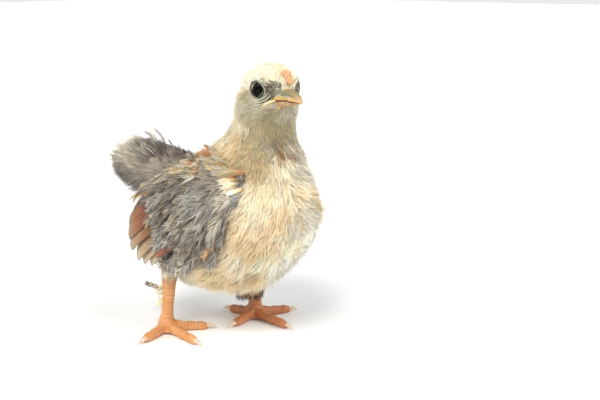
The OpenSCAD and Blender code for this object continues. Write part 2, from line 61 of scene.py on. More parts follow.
# ---------------------------------------------------------------- camera, light, floor
CAMERA_AT = to_frame([-372.7, -379.8, 191.2])
CAMERA_AIM = to_frame([21.4, -42.7, 74.6])
scene = bpy.context.scene
scene.view_settings.view_transform = "Standard"
scene.view_settings.look = "None"


def aim(obj, at):
    """Turns an object to look at a place."""
    obj.rotation_euler = (Vector(at) - obj.location).to_track_quat("-Z", "Y").to_euler()


cam = bpy.data.objects.new("camera", bpy.data.cameras.new("camera"))
scene.collection.objects.link(cam)
cam.location = CAMERA_AT
aim(cam, CAMERA_AIM)
cam.data.lens = 60
cam.data.sensor_width = 36
cam.data.clip_start = 0.01
scene.camera = cam

world = bpy.data.worlds.new("studio")
scene.world = world
world.use_nodes = True
tree = world.node_tree
# a white backdrop for the eye, and a weaker white sky for the light
sky = tree.nodes["Background"]
sky.inputs[0].default_value = (1, 1, 1, 1)
sky.inputs[1].default_value = 0.38
backdrop = tree.nodes.new("ShaderNodeBackground")
backdrop.inputs[1].default_value = 1.05
path_node = tree.nodes.new("ShaderNodeLightPath")
join = tree.nodes.new("ShaderNodeMixShader")
tree.links.new(path_node.outputs["Is Camera Ray"], join.inputs[0])
tree.links.new(sky.outputs[0], join.inputs[1])
tree.links.new(backdrop.outputs[0], join.inputs[2])
tree.links.new(join.outputs[0], tree.nodes["World Output"].inputs[0])


def sun(name, way, strength, spread, tint=(1, 1, 1)):
    """A soft sun: the way its light goes, its strength and its spread in degrees."""
    data = bpy.data.lights.new(name, "SUN")
    data.energy = strength
    data.angle = math.radians(spread)
    data.color = tint
    obj = bpy.data.objects.new(name, data)
    scene.collection.objects.link(obj)
    obj.rotation_euler = Vector(way).to_track_quat("-Z", "Y").to_euler()


sun("key_light", (0.63, 0.27, -0.73), 2.2, 26, (1, 0.985, 0.96))
sun("fill_light", (-0.25, 0.72, -0.62), 1.6, 50, (0.98, 0.99, 1))
sun("back_light", (0.55, -0.70, -0.45), 0.95, 60)

# ---------------------------------------------------------------- materials
def linear(colour):
    """Linear light from tones of 0 to 255."""
    v = np.asarray(colour, float) / 255
    return np.where(v <= 0.04045, v / 12.92, ((v + 0.055) / 1.055) ** 2.4)


def new_material(name):
    """A node material, its tree and its shader."""
    mat = bpy.data.materials.new(name)
    mat.use_nodes = True
    tree = mat.node_tree
    return mat, tree, tree.nodes["Principled BSDF"]


def add(tree, kind, **values):
    """A new node, with its own settings and its inputs given by name."""
    node = tree.nodes.new(kind)
    for key, value in values.items():
        if hasattr(node, key):
            setattr(node, key, value)
        else:
            node.inputs[key.replace("_", " ")].default_value = value
    return node


def fine_material(name, colour):
    """A strand's material: one colour of the palette, so that it needs no baking."""
    mat, _, shader = new_material(name)
    shader.inputs["Base Color"].default_value = (*colour, 1)
    shader.inputs["Roughness"].default_value = 0.85
    shader.inputs["Specular IOR Level"].default_value = 0.25
    shader.inputs["Sheen Weight"].default_value = 0.25
    shader.inputs["Sheen Roughness"].default_value = 0.5
    return mat


def ramp(tree, factor, stops):
    """Colours along a factor, as stops of place and tone."""
    node = tree.nodes.new("ShaderNodeValToRGB")
    node.color_ramp.interpolation = "LINEAR"
    while len(node.color_ramp.elements) < len(stops):
        node.color_ramp.elements.new(0.5)
    for e, (pos, colour) in zip(node.color_ramp.elements, stops):
        e.position = pos
        e.color = (*linear(colour), 1)
    tree.links.new(factor, node.inputs[0])
    return node.outputs[0]


def coords(tree, scale=(1, 1, 1), uv=None):
    """Places on the object in m, or on its UV layer, stretched by scale."""
    if uv:
        source = add(tree, "ShaderNodeUVMap", uv_map=uv).outputs[0]
    else:
        source = tree.nodes.new("ShaderNodeTexCoord").outputs["Object"]
    mapping = tree.nodes.new("ShaderNodeMapping")
    mapping.inputs["Scale"].default_value = scale
    tree.links.new(source, mapping.inputs[0])
    return mapping.outputs[0]


def noise(tree, vector, scale, detail=4.0, rough=0.55):
    """Noise from 0 to 1, with the scale in 1/m or in 1 per unit of the UV layer."""
    node = add(tree, "ShaderNodeTexNoise", Scale=scale, Detail=detail, Roughness=rough)
    tree.links.new(vector, node.inputs["Vector"])
    return node.outputs[0]


def mixed(tree, factor, a, b):
    """From a to b by the factor. Each may be a number, a tone or another node's output."""
    node = tree.nodes.new("ShaderNodeMix")
    node.data_type = "RGBA"
    node.blend_type = "MIX"
    for socket, value in ((node.inputs[0], factor), (node.inputs[6], a), (node.inputs[7], b)):
        if isinstance(value, (int, float)):
            socket.default_value = value
        elif isinstance(value, (tuple, list)):
            socket.default_value = (*linear(value), 1)
        else:
            tree.links.new(value, socket)
    return node.outputs[2]


def ranged(tree, value, low, high, a=0.0, b=1.0):
    """A value that goes from low to high while the input goes from a to b."""
    node = tree.nodes.new("ShaderNodeMapRange")
    for key, v in (("From Min", a), ("From Max", b), ("To Min", low), ("To Max", high)):
        node.inputs[key].default_value = v
    tree.links.new(value, node.inputs["Value"])
    return node.outputs[0]


def maths(tree, kind, *values):
    """The result of one sum, whose terms are numbers or other nodes' outputs."""
    node = tree.nodes.new("ShaderNodeMath")
    node.operation = kind
    for socket, value in zip(node.inputs, values):
        if isinstance(value, (int, float)):
            socket.default_value = value
        else:
            tree.links.new(value, socket)
    return node.outputs[0]


def parted(tree, vector):
    """The three parts of a vector."""
    node = tree.nodes.new("ShaderNodeSeparateXYZ")
    tree.links.new(vector, node.inputs[0])
    return node.outputs


def bumped(tree, shader, height, strength, distance):
    """Joins a height to the shader as a bump, with its distance in m."""
    node = add(tree, "ShaderNodeBump", Strength=strength, Distance=distance)
    tree.links.new(height, node.inputs["Height"])
    tree.links.new(node.outputs[0], shader.inputs["Normal"])


def patterned(name, stops, scale, rough=(0.5, 0.8), bump=(0.4, 0.0002), stretch=(1, 1, 1), detail=5.0,
              metal=0.0, coat=0.0, sheen=0.0):
    """Colour, roughness and bump from one noise, at the given scale in 1/m."""
    mat, tree, shader = new_material(name)
    vector = coords(tree, stretch)
    value = noise(tree, vector, scale, detail)
    tree.links.new(ramp(tree, value, stops), shader.inputs["Base Color"])
    tree.links.new(ranged(tree, value, rough[0], rough[1], 0.3, 0.7), shader.inputs["Roughness"])
    fine = noise(tree, vector, scale * 3.3, detail)
    bumped(tree, shader, fine, *bump)
    shader.inputs["Metallic"].default_value = metal
    shader.inputs["Coat Weight"].default_value = coat
    shader.inputs["Sheen Weight"].default_value = sheen
    return mat


# ---------------------------------------------------------------- meshes
def add_object(name, me, body, replaced=()):
    """Puts a mesh in the scene on its body, and hides the CAD nodes it replaces."""
    obj = bpy.data.objects.new(name, me)
    scene.collection.objects.link(obj)
    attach(obj, body)
    if replaced:
        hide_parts(*replaced)
    return obj


def grid_mesh(name, grid, mats, close_u=False, close_v=False, uv=None, caps=False, slots=None, drop=None):
    """A mesh through rows of points in bird mm. drop and slots are given per cell."""
    n, m = grid.shape[:2]
    verts = to_frame(grid.reshape(-1, 3))
    faces, cells, face_uv = [], [], []
    for i in range(n if close_u else n - 1):
        for j in range(m if close_v else m - 1):
            if drop is not None and drop[i, j]:
                continue
            i2, j2 = (i + 1) % n, (j + 1) % m
            faces.append((i * m + j, i * m + j2, i2 * m + j2, i2 * m + j))
            cells.append((i, j))
            if uv is not None:
                face_uv += [uv[i, j], uv[i, j + 1], uv[i + 1, j + 1], uv[i + 1, j]]
    if caps:
        faces.append(tuple(range(m - 1, -1, -1)))
        faces.append(tuple((n - 1) * m + j for j in range(m)))
        if uv is not None:
            face_uv += [uv[0, 0]] * m + [uv[-1, 0]] * m
    me = bpy.data.meshes.new(name)
    me.from_pydata(verts.tolist(), [], faces)
    for mat in mats:
        me.materials.append(mat)
    if slots is not None:
        index = [int(slots[c]) for c in cells] + [0] * (len(faces) - len(cells))
        me.polygons.foreach_set("material_index", index)
    if uv is not None:
        layer = me.uv_layers.new(name="lay")
        layer.data.foreach_set("uv", np.array(face_uv, float).ravel())
    me.polygons.foreach_set("use_smooth", [True] * len(faces))
    me.validate()
    me.update()
    return me


def free_mesh(name, verts, faces, mats, uv=None, slots=None):
    """A mesh from vertices in bird mm. uv is given per vertex, slots per face."""
    me = bpy.data.meshes.new(name)
    me.from_pydata(to_frame(verts).tolist(), [], faces)
    for mat in mats:
        me.materials.append(mat)
    if slots is not None:
        me.polygons.foreach_set("material_index", slots)
    me.polygons.foreach_set("use_smooth", [True] * len(faces))
    if uv is not None:
        layer = me.uv_layers.new(name="lay")
        index = np.zeros(len(me.loops), int)
        me.loops.foreach_get("vertex_index", index)
        layer.data.foreach_set("uv", uv[index].ravel())
    me.update()
    return me


def unit(v):
    """Vectors of length one."""
    return v / np.maximum(np.linalg.norm(v, axis=-1, keepdims=True), 1e-9)


def flat_to(v, n):
    """Vectors v without their share along n."""
    return v - n * np.sum(v * n, axis=-1, keepdims=True)


class Strands:
    """Tapered ribbons, collected as arrays in bird mm, each with a colour."""

    def __init__(self):
        self.parts = []

    def add(self, root, way, normal, length, width, curl, colour, roll=0, soft=0.75):
        """roll turns a ribbon about its way; soft is how far its shading follows the skin's."""
        n = len(root)
        length, width, roll, soft = (np.broadcast_to(np.asarray(v, float), (n,)).copy()
                                     for v in (length, width, roll, soft))
        way, normal = unit(np.asarray(way, float)), unit(np.asarray(normal, float))
        curl = np.broadcast_to(curl, (n, 3)).copy()
        colour = np.clip(np.broadcast_to(colour, (n, 3)), 0, 255).copy()
        self.parts.append([np.asarray(root, float), way, normal, length, width, curl, colour, roll, soft])

    def arrays(self):
        """Every strand in one array per property."""
        return [np.concatenate([p[k] for p in self.parts]) for k in range(9)]


# A strand has three pairs of points and a tip: their places along it and its width there.
STEPS = np.array([0.0, 0.36, 0.72, 1.0])
TAPER = np.array([1.0, 0.92, 0.62, 0.0])
# How many places are worked out at once.
CHUNK = 20000


def strand_piece(name, strands, palette, mats, body, replaced=()):
    """One mesh of strands: each takes the nearest colour of the palette and leans its normals outwards."""
    root, way, normal, length, width, curl, colour, roll, soft = strands.arrays()
    n = len(root)
    label = np.zeros(n, int)
    lin = linear(colour)
    for k in range(0, n, CHUNK):
        d = ((lin[k:k + CHUNK, None, :] - palette[None]) ** 2).sum(-1)
        label[k:k + CHUNK] = d.argmin(1)
    used = np.unique(label)
    side = (unit(np.cross(way, normal)) * np.cos(roll)[:, None]
            + unit(flat_to(normal, way)) * np.sin(roll)[:, None])
    co = np.zeros((n, 7, 3))
    nr = np.zeros((n, 7, 3))
    for k, t in enumerate(STEPS):
        centre = root + length[:, None] * (way * t + curl * t * t)
        along = unit(way + 2 * curl * t)
        across = unit(flat_to(side, along)) * (width * TAPER[k])[:, None]
        flat = unit(np.cross(across, along)) if k < 3 else flat
        shade = unit(normal * soft[:, None] + flat * (1 - soft)[:, None])
        if k < 3:
            co[:, 2 * k], co[:, 2 * k + 1] = centre - across, centre + across
            nr[:, 2 * k] = nr[:, 2 * k + 1] = shade
        else:
            co[:, 6], nr[:, 6] = centre, shade
    base = (np.arange(n) * 7)[:, None]
    loops = (base + np.array([0, 1, 3, 2, 2, 3, 5, 4, 4, 5, 6])).ravel()
    starts = ((np.arange(n) * 11)[:, None] + np.array([0, 4, 8])).ravel()
    me = bpy.data.meshes.new(name)
    me.vertices.add(n * 7)
    me.vertices.foreach_set("co", to_frame(co).ravel())
    me.loops.add(n * 11)
    me.loops.foreach_set("vertex_index", loops)
    me.polygons.add(n * 3)
    me.polygons.foreach_set("loop_start", starts)
    slot_of = {int(u): i for i, u in enumerate(used)}
    me.polygons.foreach_set("material_index", np.repeat(np.array([slot_of[int(v)] for v in label]), 3))
    for u in used:
        me.materials.append(mats[int(u)])
    me.update(calc_edges=True)
    me.normals_split_custom_set_from_vertices(nr.reshape(-1, 3).tolist())
    return add_object(name, me, body, replaced)


def make_palette(colours, count, seed):
    """Colours that stand for many, found by repeated averaging of the nearest ones."""
    rng = np.random.default_rng(seed)
    lin = linear(colours)
    lin = lin[rng.permutation(len(lin))[:12000]]
    centres = lin[:count].copy()
    for _ in range(10):
        label = ((lin[:, None] - centres[None]) ** 2).sum(-1).argmin(1)
        for k in range(count):
            if (label == k).any():
                centres[k] = lin[label == k].mean(0)
    return centres


# ---------------------------------------------------------------- the bird's surface
# Height, front, back and half-width of the body at each level, as in the CAD shells.
OUTLINE = np.array([
    [29, 28, -10, 13], [35, 41, -24, 24], [44, 51.4, -34, 31], [55, 60.4, -39, 33.5], [66, 64.9, -39, 34],
    [77, 63.1, -34, 33], [87, 59, -22, 29], [96, 55, -4, 24.4], [104, 52.4, 10, 20.6], [111, 50.5, 18, 17.5],
    [119, 51, 23, 16], [127, 52.5, 25.5, 16.3], [136, 54, 26, 16.6], [143, 52.5, 28, 14.5],
    [148, 48, 33, 9], [150.3, 42.5, 37.5, 2.6]], float)
# The power of the body's section, which is 2 for an ellipse.
ROUND = 2.2
LAST = len(OUTLINE) - 1
# The crown is flattened above this height.
CROWN_Z, CROWN_FLAT = 140, 0.8


def smooth(z, a, b):
    """From 0 at a to 1 at b with soft ends."""
    t = np.clip((z - a) / (b - a), 0, 1)
    return t * t * (3 - 2 * t)


def spline(a, b, c, d, t):
    """From b to c along a smooth curve whose neighbours are a and d."""
    return 0.5 * (2 * b + (c - a) * t + (2 * a - 5 * b + 4 * c - d) * t ** 2
                  + (3 * b - a - 3 * c + d) * t ** 3)


def outline(u):
    """A smooth curve through the rows of OUTLINE."""
    u = np.clip(np.asarray(u, float), 0, LAST)
    i = np.minimum(np.floor(u).astype(int), LAST - 1)
    t = (u - i)[..., None]
    a, b = OUTLINE[np.maximum(i - 1, 0)], OUTLINE[i]
    c, d = OUTLINE[i + 1], OUTLINE[np.minimum(i + 2, LAST)]
    return spline(a, b, c, d, t)


def rounded(v):
    """A circle's sine or cosine bent to the body's fuller section."""
    return np.sign(v) * np.abs(v) ** (2 / ROUND)


def skin(u, a, off=0.0):
    """The body's surface at level u and angle a, moved out by off. The head is slimmed and its
    crown flattened."""
    s = outline(u)
    half = (s[..., 1] - s[..., 2]) / 2

    def grown(v, least):
        """Moved out by off, or by less where the body is narrower than least."""
        return np.where(v > least, v + off, v * (1 + off / least))

    x = grown(s[..., 3], 16) * rounded(np.cos(a))
    y = -(s[..., 1] + s[..., 2]) / 2 - grown(half, 13) * rounded(np.sin(a))
    high = s[..., 0]
    slim = smooth(high, 124, 140)
    x = x * (1 - 0.06 * slim)
    y = np.where(y > -40, -40 + (y + 40) * (1 - 0.16 * slim), y)
    return np.stack([x, y, np.minimum(high, CROWN_Z) + np.maximum(high - CROWN_Z, 0) * CROWN_FLAT], -1)


def skin_normal(u, a):
    """The way out of the skin."""
    e = 0.02
    du = skin(np.minimum(u + e, LAST), a) - skin(np.maximum(u - e, 0), a)
    da = skin(u, a + e) - skin(u, a - e)
    return unit(np.cross(du, da))


DENSE = outline(np.linspace(0, LAST, 121))


def side_x(f, z, flare=0.0):
    """Half the body's width at a distance forward and a height; flare lets it reach further back."""
    front = np.interp(z, DENSE[:, 0], DENSE[:, 1])
    back = np.interp(z, DENSE[:, 0], DENSE[:, 2]) - flare
    wide = np.interp(z, DENSE[:, 0], DENSE[:, 3])
    t = np.abs(f - (front + back) / 2) / ((front - back) / 2)
    return wide * np.maximum(1 - t ** ROUND, 0) ** (1 / ROUND)


def flank_x(f, z):
    """Half the width that the folded wings lie on, which stays wide towards the rear."""
    return np.maximum(side_x(f, z), side_x(f, z, 14.0))


# The wing's upper and lower edge, as forward and height.
WING_TOP = np.array([[-40, 62], [-30, 74], [-10, 87], [10, 95], [29, 99.5], [43, 96]], float)
WING_LOW = np.array([[-40, 52], [-30, 45.5], [-10, 47], [10, 49], [22, 53], [34, 59], [43, 80]], float)


def wing_z(f, v):
    """The height at a share v from the wing's lower edge to its upper one."""
    return np.interp(f, *WING_LOW.T) * (1 - v) + np.interp(f, *WING_TOP.T) * v


def wing_surface(side, f, v, off):
    """Places on the folded wing, by distance forward and share of its height."""
    z = wing_z(f, v)
    return np.stack([side * (flank_x(f, z) + off), -f, z], -1)


def wing_normal(side, f, v):
    """The way out of the folded wing."""
    e = 0.6
    df = wing_surface(side, f + e, v, 0) - wing_surface(side, f - e, v, 0)
    dv = wing_surface(side, f, np.minimum(v + 0.02, 1), 0) - wing_surface(side, f, np.maximum(v - 0.02, 0), 0)
    return unit(np.cross(dv, df)) * side


# ---------------------------------------------------------------- colours
# The tones of down and feathers, read, from 0 to 255.
TONES = {
    "milk": (253, 251, 238), "lemon_white": (253, 251, 226), "lemon": (250, 242, 206),
    "cream": (250, 238, 210), "peach_cream": (255, 238, 208), "peach": (240, 214, 180),
    "green_cream": (200, 198, 164), "olive_cream": (184, 175, 134), "throat": (164, 156, 112),
    "yellow": (224, 200, 146), "olive_yellow": (196, 174, 124), "buff": (228, 204, 162),
    "beige": (218, 208, 188), "silver": (228, 222, 208), "taupe": (176, 163, 144),
    "ash": (150, 140, 126), "slate": (104, 94, 82), "umber": (66, 54, 42), "rust": (160, 98, 56),
    "tan": (204, 158, 108), "sand": (218, 190, 150), "white": (248, 245, 238),
    "grey_white": (206, 199, 188), "speck": (112, 114, 98), "brown": (112, 68, 40)}

# Where each tone of the down lies: x, forward, z in bird mm; both marks one on either side.
FIELD = [
    ("lemon_white", 0, 38, 150), ("lemon", 0, 50, 147), ("milk", 10, 40, 147, "both"),
    ("lemon_white", 0, 28, 143), ("lemon", 0, 24, 130), ("green_cream", 16, 38, 127, "both"),
    ("olive_cream", 16.6, 41, 133, "both"), ("lemon_white", 16.4, 31, 134, "both"),
    ("lemon_white", 15, 33, 140, "both"), ("lemon_white", 15.5, 40, 139, "both"),
    ("lemon_white", 14, 44, 143, "both"), ("lemon", 7, 51, 143, "both"),
    ("green_cream", 15, 45, 129, "both"), ("green_cream", 12, 50, 127, "both"), ("throat", 0, 51, 120),
    ("throat", -9, 49, 121), ("olive_cream", -13, 45, 122), ("olive_cream", -14, 42, 116),
    ("green_cream", 9, 49, 121), ("beige", 13, 44, 117), ("throat", -5, 50, 113),
    ("rust", -3.5, 52, 107.5), ("green_cream", 0, 53, 126), ("cream", 16, 35, 121, "both"),
    ("yellow", 17.2, 34, 112, "both"), ("yellow", 16.5, 43, 105, "both"),
    ("olive_yellow", 13, 47, 107, "both"), ("cream", 18, 28, 113, "both"), ("lemon", 0, 18, 112),
    ("yellow", 19, 30, 104, "both"), ("buff", 0, 6, 102), ("olive_yellow", 17, 46, 99, "both"),
    ("taupe", -8, 49.5, 109), ("taupe", 0, 51, 110), ("silver", 9, 50, 106),
    ("buff", 18, 20, 101, "both"), ("peach_cream", -7, 51.5, 101), ("peach_cream", -9, 53, 93),
    ("peach_cream", -15, 52, 90), ("peach_cream", -10, 56, 84), ("peach", -11, 58, 76),
    ("peach_cream", -18, 52, 76), ("peach", -19, 53, 69), ("beige", 1, 54, 100), ("beige", 4, 56, 92),
    ("peach", 3, 60, 84), ("beige", 1, 61, 77), ("silver", -2, 63, 70), ("beige", -8, 61, 68),
    ("silver", 10, 54, 97), ("silver", 15, 51, 92), ("sand", 10, 59, 82), ("beige", 20, 50, 80),
    ("silver", 22, 49, 68), ("white", 8, 61, 60), ("cream", -4, 62, 57), ("white", -9, 56, 48),
    ("yellow", -20.5, 54.5, 58), ("peach", -20, 55, 65), ("lemon", -17, 53, 50), ("yellow", -17, 50, 42),
    ("cream", -25, 43, 52), ("peach", -27, 36, 50), ("peach", -25, 25, 40), ("buff", -20, 34, 37),
    ("grey_white", 0, 50, 40), ("silver", 8, 58, 52), ("white", 14, 52, 52), ("white", 18, 46, 46),
    ("beige", 0, 20, 30), ("cream", 0, -5, 33), ("silver", 0, -30, 50), ("cream", -22, -20, 45),
    ("beige", -27, 5, 41), ("white", 24, 40, 48), ("peach", 25, 20, 40), ("cream", 22, -20, 45),
    ("beige", 0, -39, 62), ("taupe", 12, -32, 70, "both"), ("buff", 10, 0, 96, "both"),
    ("taupe", 0, -20, 86), ("slate", 9, -24, 82, "both"), ("buff", 27, 40, 66, "both"),
    ("beige", 30, 20, 80, "both"), ("beige", 30, -10, 70, "both")]


def field_arrays(rows):
    """The places and tones of a list of marks."""
    places, tones = [], []
    for name, x, f, z, *both in rows:
        for s in ((1, -1) if both else (1,)):
            places.append([s * x, -f, z])
            tones.append(TONES[name])
    return np.array(places, float), np.array(tones, float)


FIELD_AT, FIELD_TONE = field_arrays(FIELD)


def down_tone(p):
    """The tone of the down at places p, blended between the nearest marks."""
    out = np.zeros((len(p), 3))
    for k in range(0, len(p), CHUNK):
        d = ((p[k:k + CHUNK, None] - FIELD_AT[None]) ** 2).sum(-1) + 3.0
        w = d ** -2.4
        out[k:k + CHUNK] = (w @ FIELD_TONE) / w.sum(1)[:, None]
    return out


def ripple(p, size, seed):
    """Smooth noise from -1 to 1 at places p, with waves of about the given size."""
    rng = np.random.default_rng(seed)
    total = np.zeros(len(p))
    for _ in range(7):
        way = unit(rng.normal(size=3))
        total += np.sin(p @ way * (2 * math.pi / (size * rng.uniform(0.7, 1.5))) + rng.uniform(0, 6.28))
    return total / 3.6


# ---------------------------------------------------------------- down
BEAK_BASE = bird(0, 52, 131.5)
# Where the legs leave the body and where the key does, as y and z. Legs are given per side.
HOCK_Z = 36.0
ARCH = {-1: (10.4, HOCK_Z), 1: (-10.4, HOCK_Z)}
KEY_AT = (-20.0, 70.0)


def on_wing(p, inset=0.0):
    """Whether places lie under a folded wing, at least inset from its edges."""
    f, z = -p[:, 1], p[:, 2]
    top = np.interp(f, *WING_TOP.T) - inset
    low = np.interp(f, *WING_LOW.T) + inset
    return (f > -40 + inset) & (f < 43 - inset) & (z < top) & (z > low) & (np.abs(p[:, 0]) > 8)


def near_arch(p, r):
    """Whether places lie within r of an opening for a leg."""
    out = np.zeros(len(p), bool)
    for s, (y, z) in ARCH.items():
        out |= (p[:, 0] * s > 12) & (np.hypot(p[:, 1] - y, p[:, 2] - z) < r)
    return out


def sample_skin(count, u0, u1, seed):
    """Random places on the skin with an even density, as u and angle."""
    rng = np.random.default_rng(seed)
    nu, na = 160, 160
    u = np.linspace(u0, u1, nu + 1)
    a = np.linspace(0, 2 * math.pi, na + 1)
    g = skin(u[:, None] + 0 * a[None], a[None] + 0 * u[:, None])
    d1, d2 = g[1:, :-1] - g[:-1, :-1], g[:-1, 1:] - g[:-1, :-1]
    area = np.linalg.norm(np.cross(d1, d2), axis=-1).ravel()
    cell = rng.choice(len(area), size=count, p=area / area.sum())
    uu = u[cell // na] + (u[1] - u[0]) * rng.random(count)
    aa = a[cell % na] + (a[1] - a[0]) * rng.random(count)
    return uu, aa, rng


def lay(p, n):
    """The way the down lies at places p, along the skin."""
    x, f, z = p[:, 0], -p[:, 1], p[:, 2]
    side = np.clip(x / 14, -1, 1)
    head = unit(p - BEAK_BASE + np.array([0, 0, 2.0]))
    head[:, 1] += 0.5
    down = np.stack([side * 0.15, 0.25 + 0 * z, -1 + 0 * z], -1)
    front = np.clip((f - 30) / 18, 0, 1)
    # the down of the breast parts from a tract a little right of its middle
    part = np.clip((x + 9) / 12, -1, 1)
    breast = np.stack([part * 0.75, 0.25 + 0 * z, -1 + 0 * z], -1)
    rear = np.stack([side * 0.1, 1 + 0 * z, -0.55 + 0 * z], -1)
    body = breast * front[:, None] + rear * (1 - front)[:, None]
    up = np.clip((z - 100) / 14, 0, 1)[:, None]
    top = np.clip((z - 120) / 8, 0, 1)[:, None]
    way = (body * (1 - up) + down * up) * (1 - top) + head * top
    return unit(flat_to(way, n))


def tufts(out, count, per, u0, u1, seed, length, width, lift, spread, keep, tone=None, jitter=14.0,
          gather=0.55, curl=0.25):
    """Adds tufts of down: strands whose tips draw together, each tuft with its own shade."""
    uu, aa, rng = sample_skin(count, u0, u1, seed)
    p = skin(uu, aa, -0.3)
    n = skin_normal(uu, aa)
    good = keep(p)
    p, n = p[good], n[good]
    count = len(p)
    way = lay(p, n)
    swing = (ripple(p, 17, seed + 1) * 0.45 + rng.normal(0, 0.16, count))[:, None]
    way = unit(way * np.cos(swing) + np.cross(n, way) * np.sin(swing))
    shade = (tone or down_tone)(p + rng.normal(0, 1.8, p.shape))
    bright = 1 + 0.05 * ripple(p, 9, seed + 2) + rng.normal(0, 0.045, count)
    shade = shade * bright[:, None] + rng.normal(0, 3, (count, 3))
    size = length(p) * rng.uniform(0.8, 1.2, count) * (1 + 0.12 * ripple(p, 11, seed + 3))
    k = np.repeat(np.arange(count), per)
    total = len(k)
    off = rng.normal(0, 1, (total, 3))
    off = flat_to(off, n[k]) * spread
    root = p[k] + off - n[k] * 0.2
    rise = np.radians(lift * rng.uniform(0.55, 1.45, total))[:, None]
    turn = rng.normal(0, 0.20, total)[:, None]
    across = np.cross(n[k], way[k])
    flat = unit(way[k] * np.cos(turn) + across * np.sin(turn))
    long = size[k] * rng.uniform(0.7, 1.15, total)
    pull = -off * gather / np.maximum(long, 1)[:, None]
    direction = unit(flat * np.cos(rise) + n[k] * np.sin(rise) + pull)
    bend = -n[k] * (np.sin(rise) * curl * rng.uniform(0.6, 1.4, (total, 1))) + pull * 0.6
    bend[:, 2] -= 0.03
    colour = shade[k] + rng.normal(0, jitter * 0.4, (total, 1)) + rng.normal(0, 2.5, (total, 3))
    out.add(root, direction, n[k], long, width * rng.uniform(0.7, 1.3, total), bend, colour,
            rng.uniform(-0.9, 0.9, total), 0.72)


head_down, neck_down, breast_down, back_down, fluff = (Strands() for _ in range(5))
# The middle of an eye, as forward and height.
EYE = (46.1, 136.6)


def always(size):
    """A length that is the same all over."""
    return lambda p: size + 0 * p[:, 2]


def bare(p):
    """Where the beak grows."""
    return (np.abs(p[:, 0]) < 7.4) & (p[:, 1] < -47) & (p[:, 2] > 126.5) & (p[:, 2] < 137.5)


def on_lore(p):
    """The bare speckled skin between eye and beak."""
    x, f, z = np.abs(p[:, 0]), -p[:, 1], p[:, 2]
    edge = 0.6 * ripple(p, 4, 15)
    high = 141.8 - 0.35 * (f - 47) + edge
    return (x > 4.6) & (f > 47.2 + edge) & (f < 55.5) & (z > 129.2 + edge) & (z < high)


def near_eye(p, r):
    """Whether places lie within r of either eye's middle."""
    d = [np.hypot((-p[:, 1] - EYE[0]) * 1.25, p[:, 2] - EYE[1]) + 9 * (p[:, 0] * s < 5) for s in (1, -1)]
    return np.minimum(*d) < r


def head_keep(p):
    """The head outside its bare skin, beak and eyes."""
    return ~bare(p) & ~near_eye(p, 4.2) & ~on_lore(p) & (p[:, 2] > 114)


def trunk_keep(p):
    """The body below the neck, outside the wings and the legs' openings."""
    return (p[:, 2] <= 94) & ~on_wing(p, 2.5) & ~near_arch(p, 9.5)


def tucked(p):
    """How far the down is drawn in, which is most on the lower left of the breast."""
    return smooth(p[:, 2], 80, 60) * smooth(-p[:, 1] + 0.9 * p[:, 0], 34, 60)


def trunk_long(p):
    """The length of the trunk's down."""
    return 8.0 - 5.2 * tucked(p)


def two_tones(size, seed, above, first, second):
    """Patches of two tones, with the first where the noise is above a limit."""
    return lambda p: np.where((ripple(p, size, seed) > above)[:, None], first, second)


def tone(name):
    """A named tone as an array."""
    return np.array(TONES[name], float)


def throat_patch(p):
    """Where the throat meets the tract of the breast."""
    across = (p[:, 0] + 3.5 + 0.35 * (106 - p[:, 2])) / 2.6
    return (p[:, 1] < -46) & (np.hypot(across, (p[:, 2] - 103) / 8) < 1)


def under_wing(p):
    """The flank below the rear of each wing."""
    x, y, z = p.T
    return (y > 8) & (y < 36) & (z > 36) & (z < 52) & (np.abs(x) > 12)


tufts(head_down, 4300, 10, 9.0, LAST, 11,
      lambda p: 2.6 + 3.2 * smooth(-p[:, 2], -134, -116) + 1.0 * smooth(-p[:, 2], -150, -140),
      0.13, 17, 0.9, head_keep, gather=0.5, jitter=9)
tufts(neck_down, 1700, 14, 6.8, 9.9, 21, lambda p: 5.5 + 2.5 * smooth(-p[:, 2], -116, -98), 0.17, 24,
      1.3, lambda p: (p[:, 2] > 92) & (p[:, 2] <= 117) & ~on_wing(p, 2.5))
tufts(breast_down, 2900, 15, 0.0, 7.4, 31, trunk_long, 0.18, 24, 1.5,
      lambda p: trunk_keep(p) & (p[:, 1] < -22))
tufts(back_down, 2300, 13, 0.0, 7.4, 41, trunk_long, 0.19, 26, 1.5,
      lambda p: trunk_keep(p) & (p[:, 1] >= -24))
# long pale down under the rear of the wings
tufts(fluff, 2600, 8, 0.6, 4.6, 43, always(12.5), 0.11, 38, 1.2, under_wing,
      tone=lambda p: down_tone(p) * 0.3 + tone("white") * 0.68, gather=0.3)
# short bristles over the speckled skin
tufts(head_down, 9000, 3, 11.0, 13.4, 13, always(1.5), 0.085, 20, 0.35,
      lambda p: on_lore(p) & ~near_eye(p, 3.9) & ~bare(p), gather=0.3, jitter=60,
      tone=two_tones(1.7, 77, -0.1, tone("speck") * 0.7, tone("olive_cream") * 0.9))
# brown strands in the throat patch
tufts(breast_down, 1500, 4, 6.6, 9.2, 14, always(6.5), 0.13, 20, 0.6, throat_patch, gather=0.3,
      tone=two_tones(2.4, 78, 0.15, tone("brown") * 1.25, tone("peach_cream") * 0.92))
# long loose strands that soften the outline
tufts(fluff, 900, 5, 0.3, 9.0, 51, always(10.5), 0.07, 44, 1.0,
      lambda p: ~on_wing(p, 1) & ~near_arch(p, 10) & (tucked(p) < 0.3), gather=0.2, jitter=8)
tufts(fluff, 900, 4, 9.0, LAST, 52, lambda p: 4.6 - 1.2 * smooth(p[:, 2], 128, 146), 0.05, 46, 0.8,
      lambda p: head_keep(p) & (np.linalg.norm(p - BEAK_BASE, axis=1) > 12), gather=0.2, jitter=6)

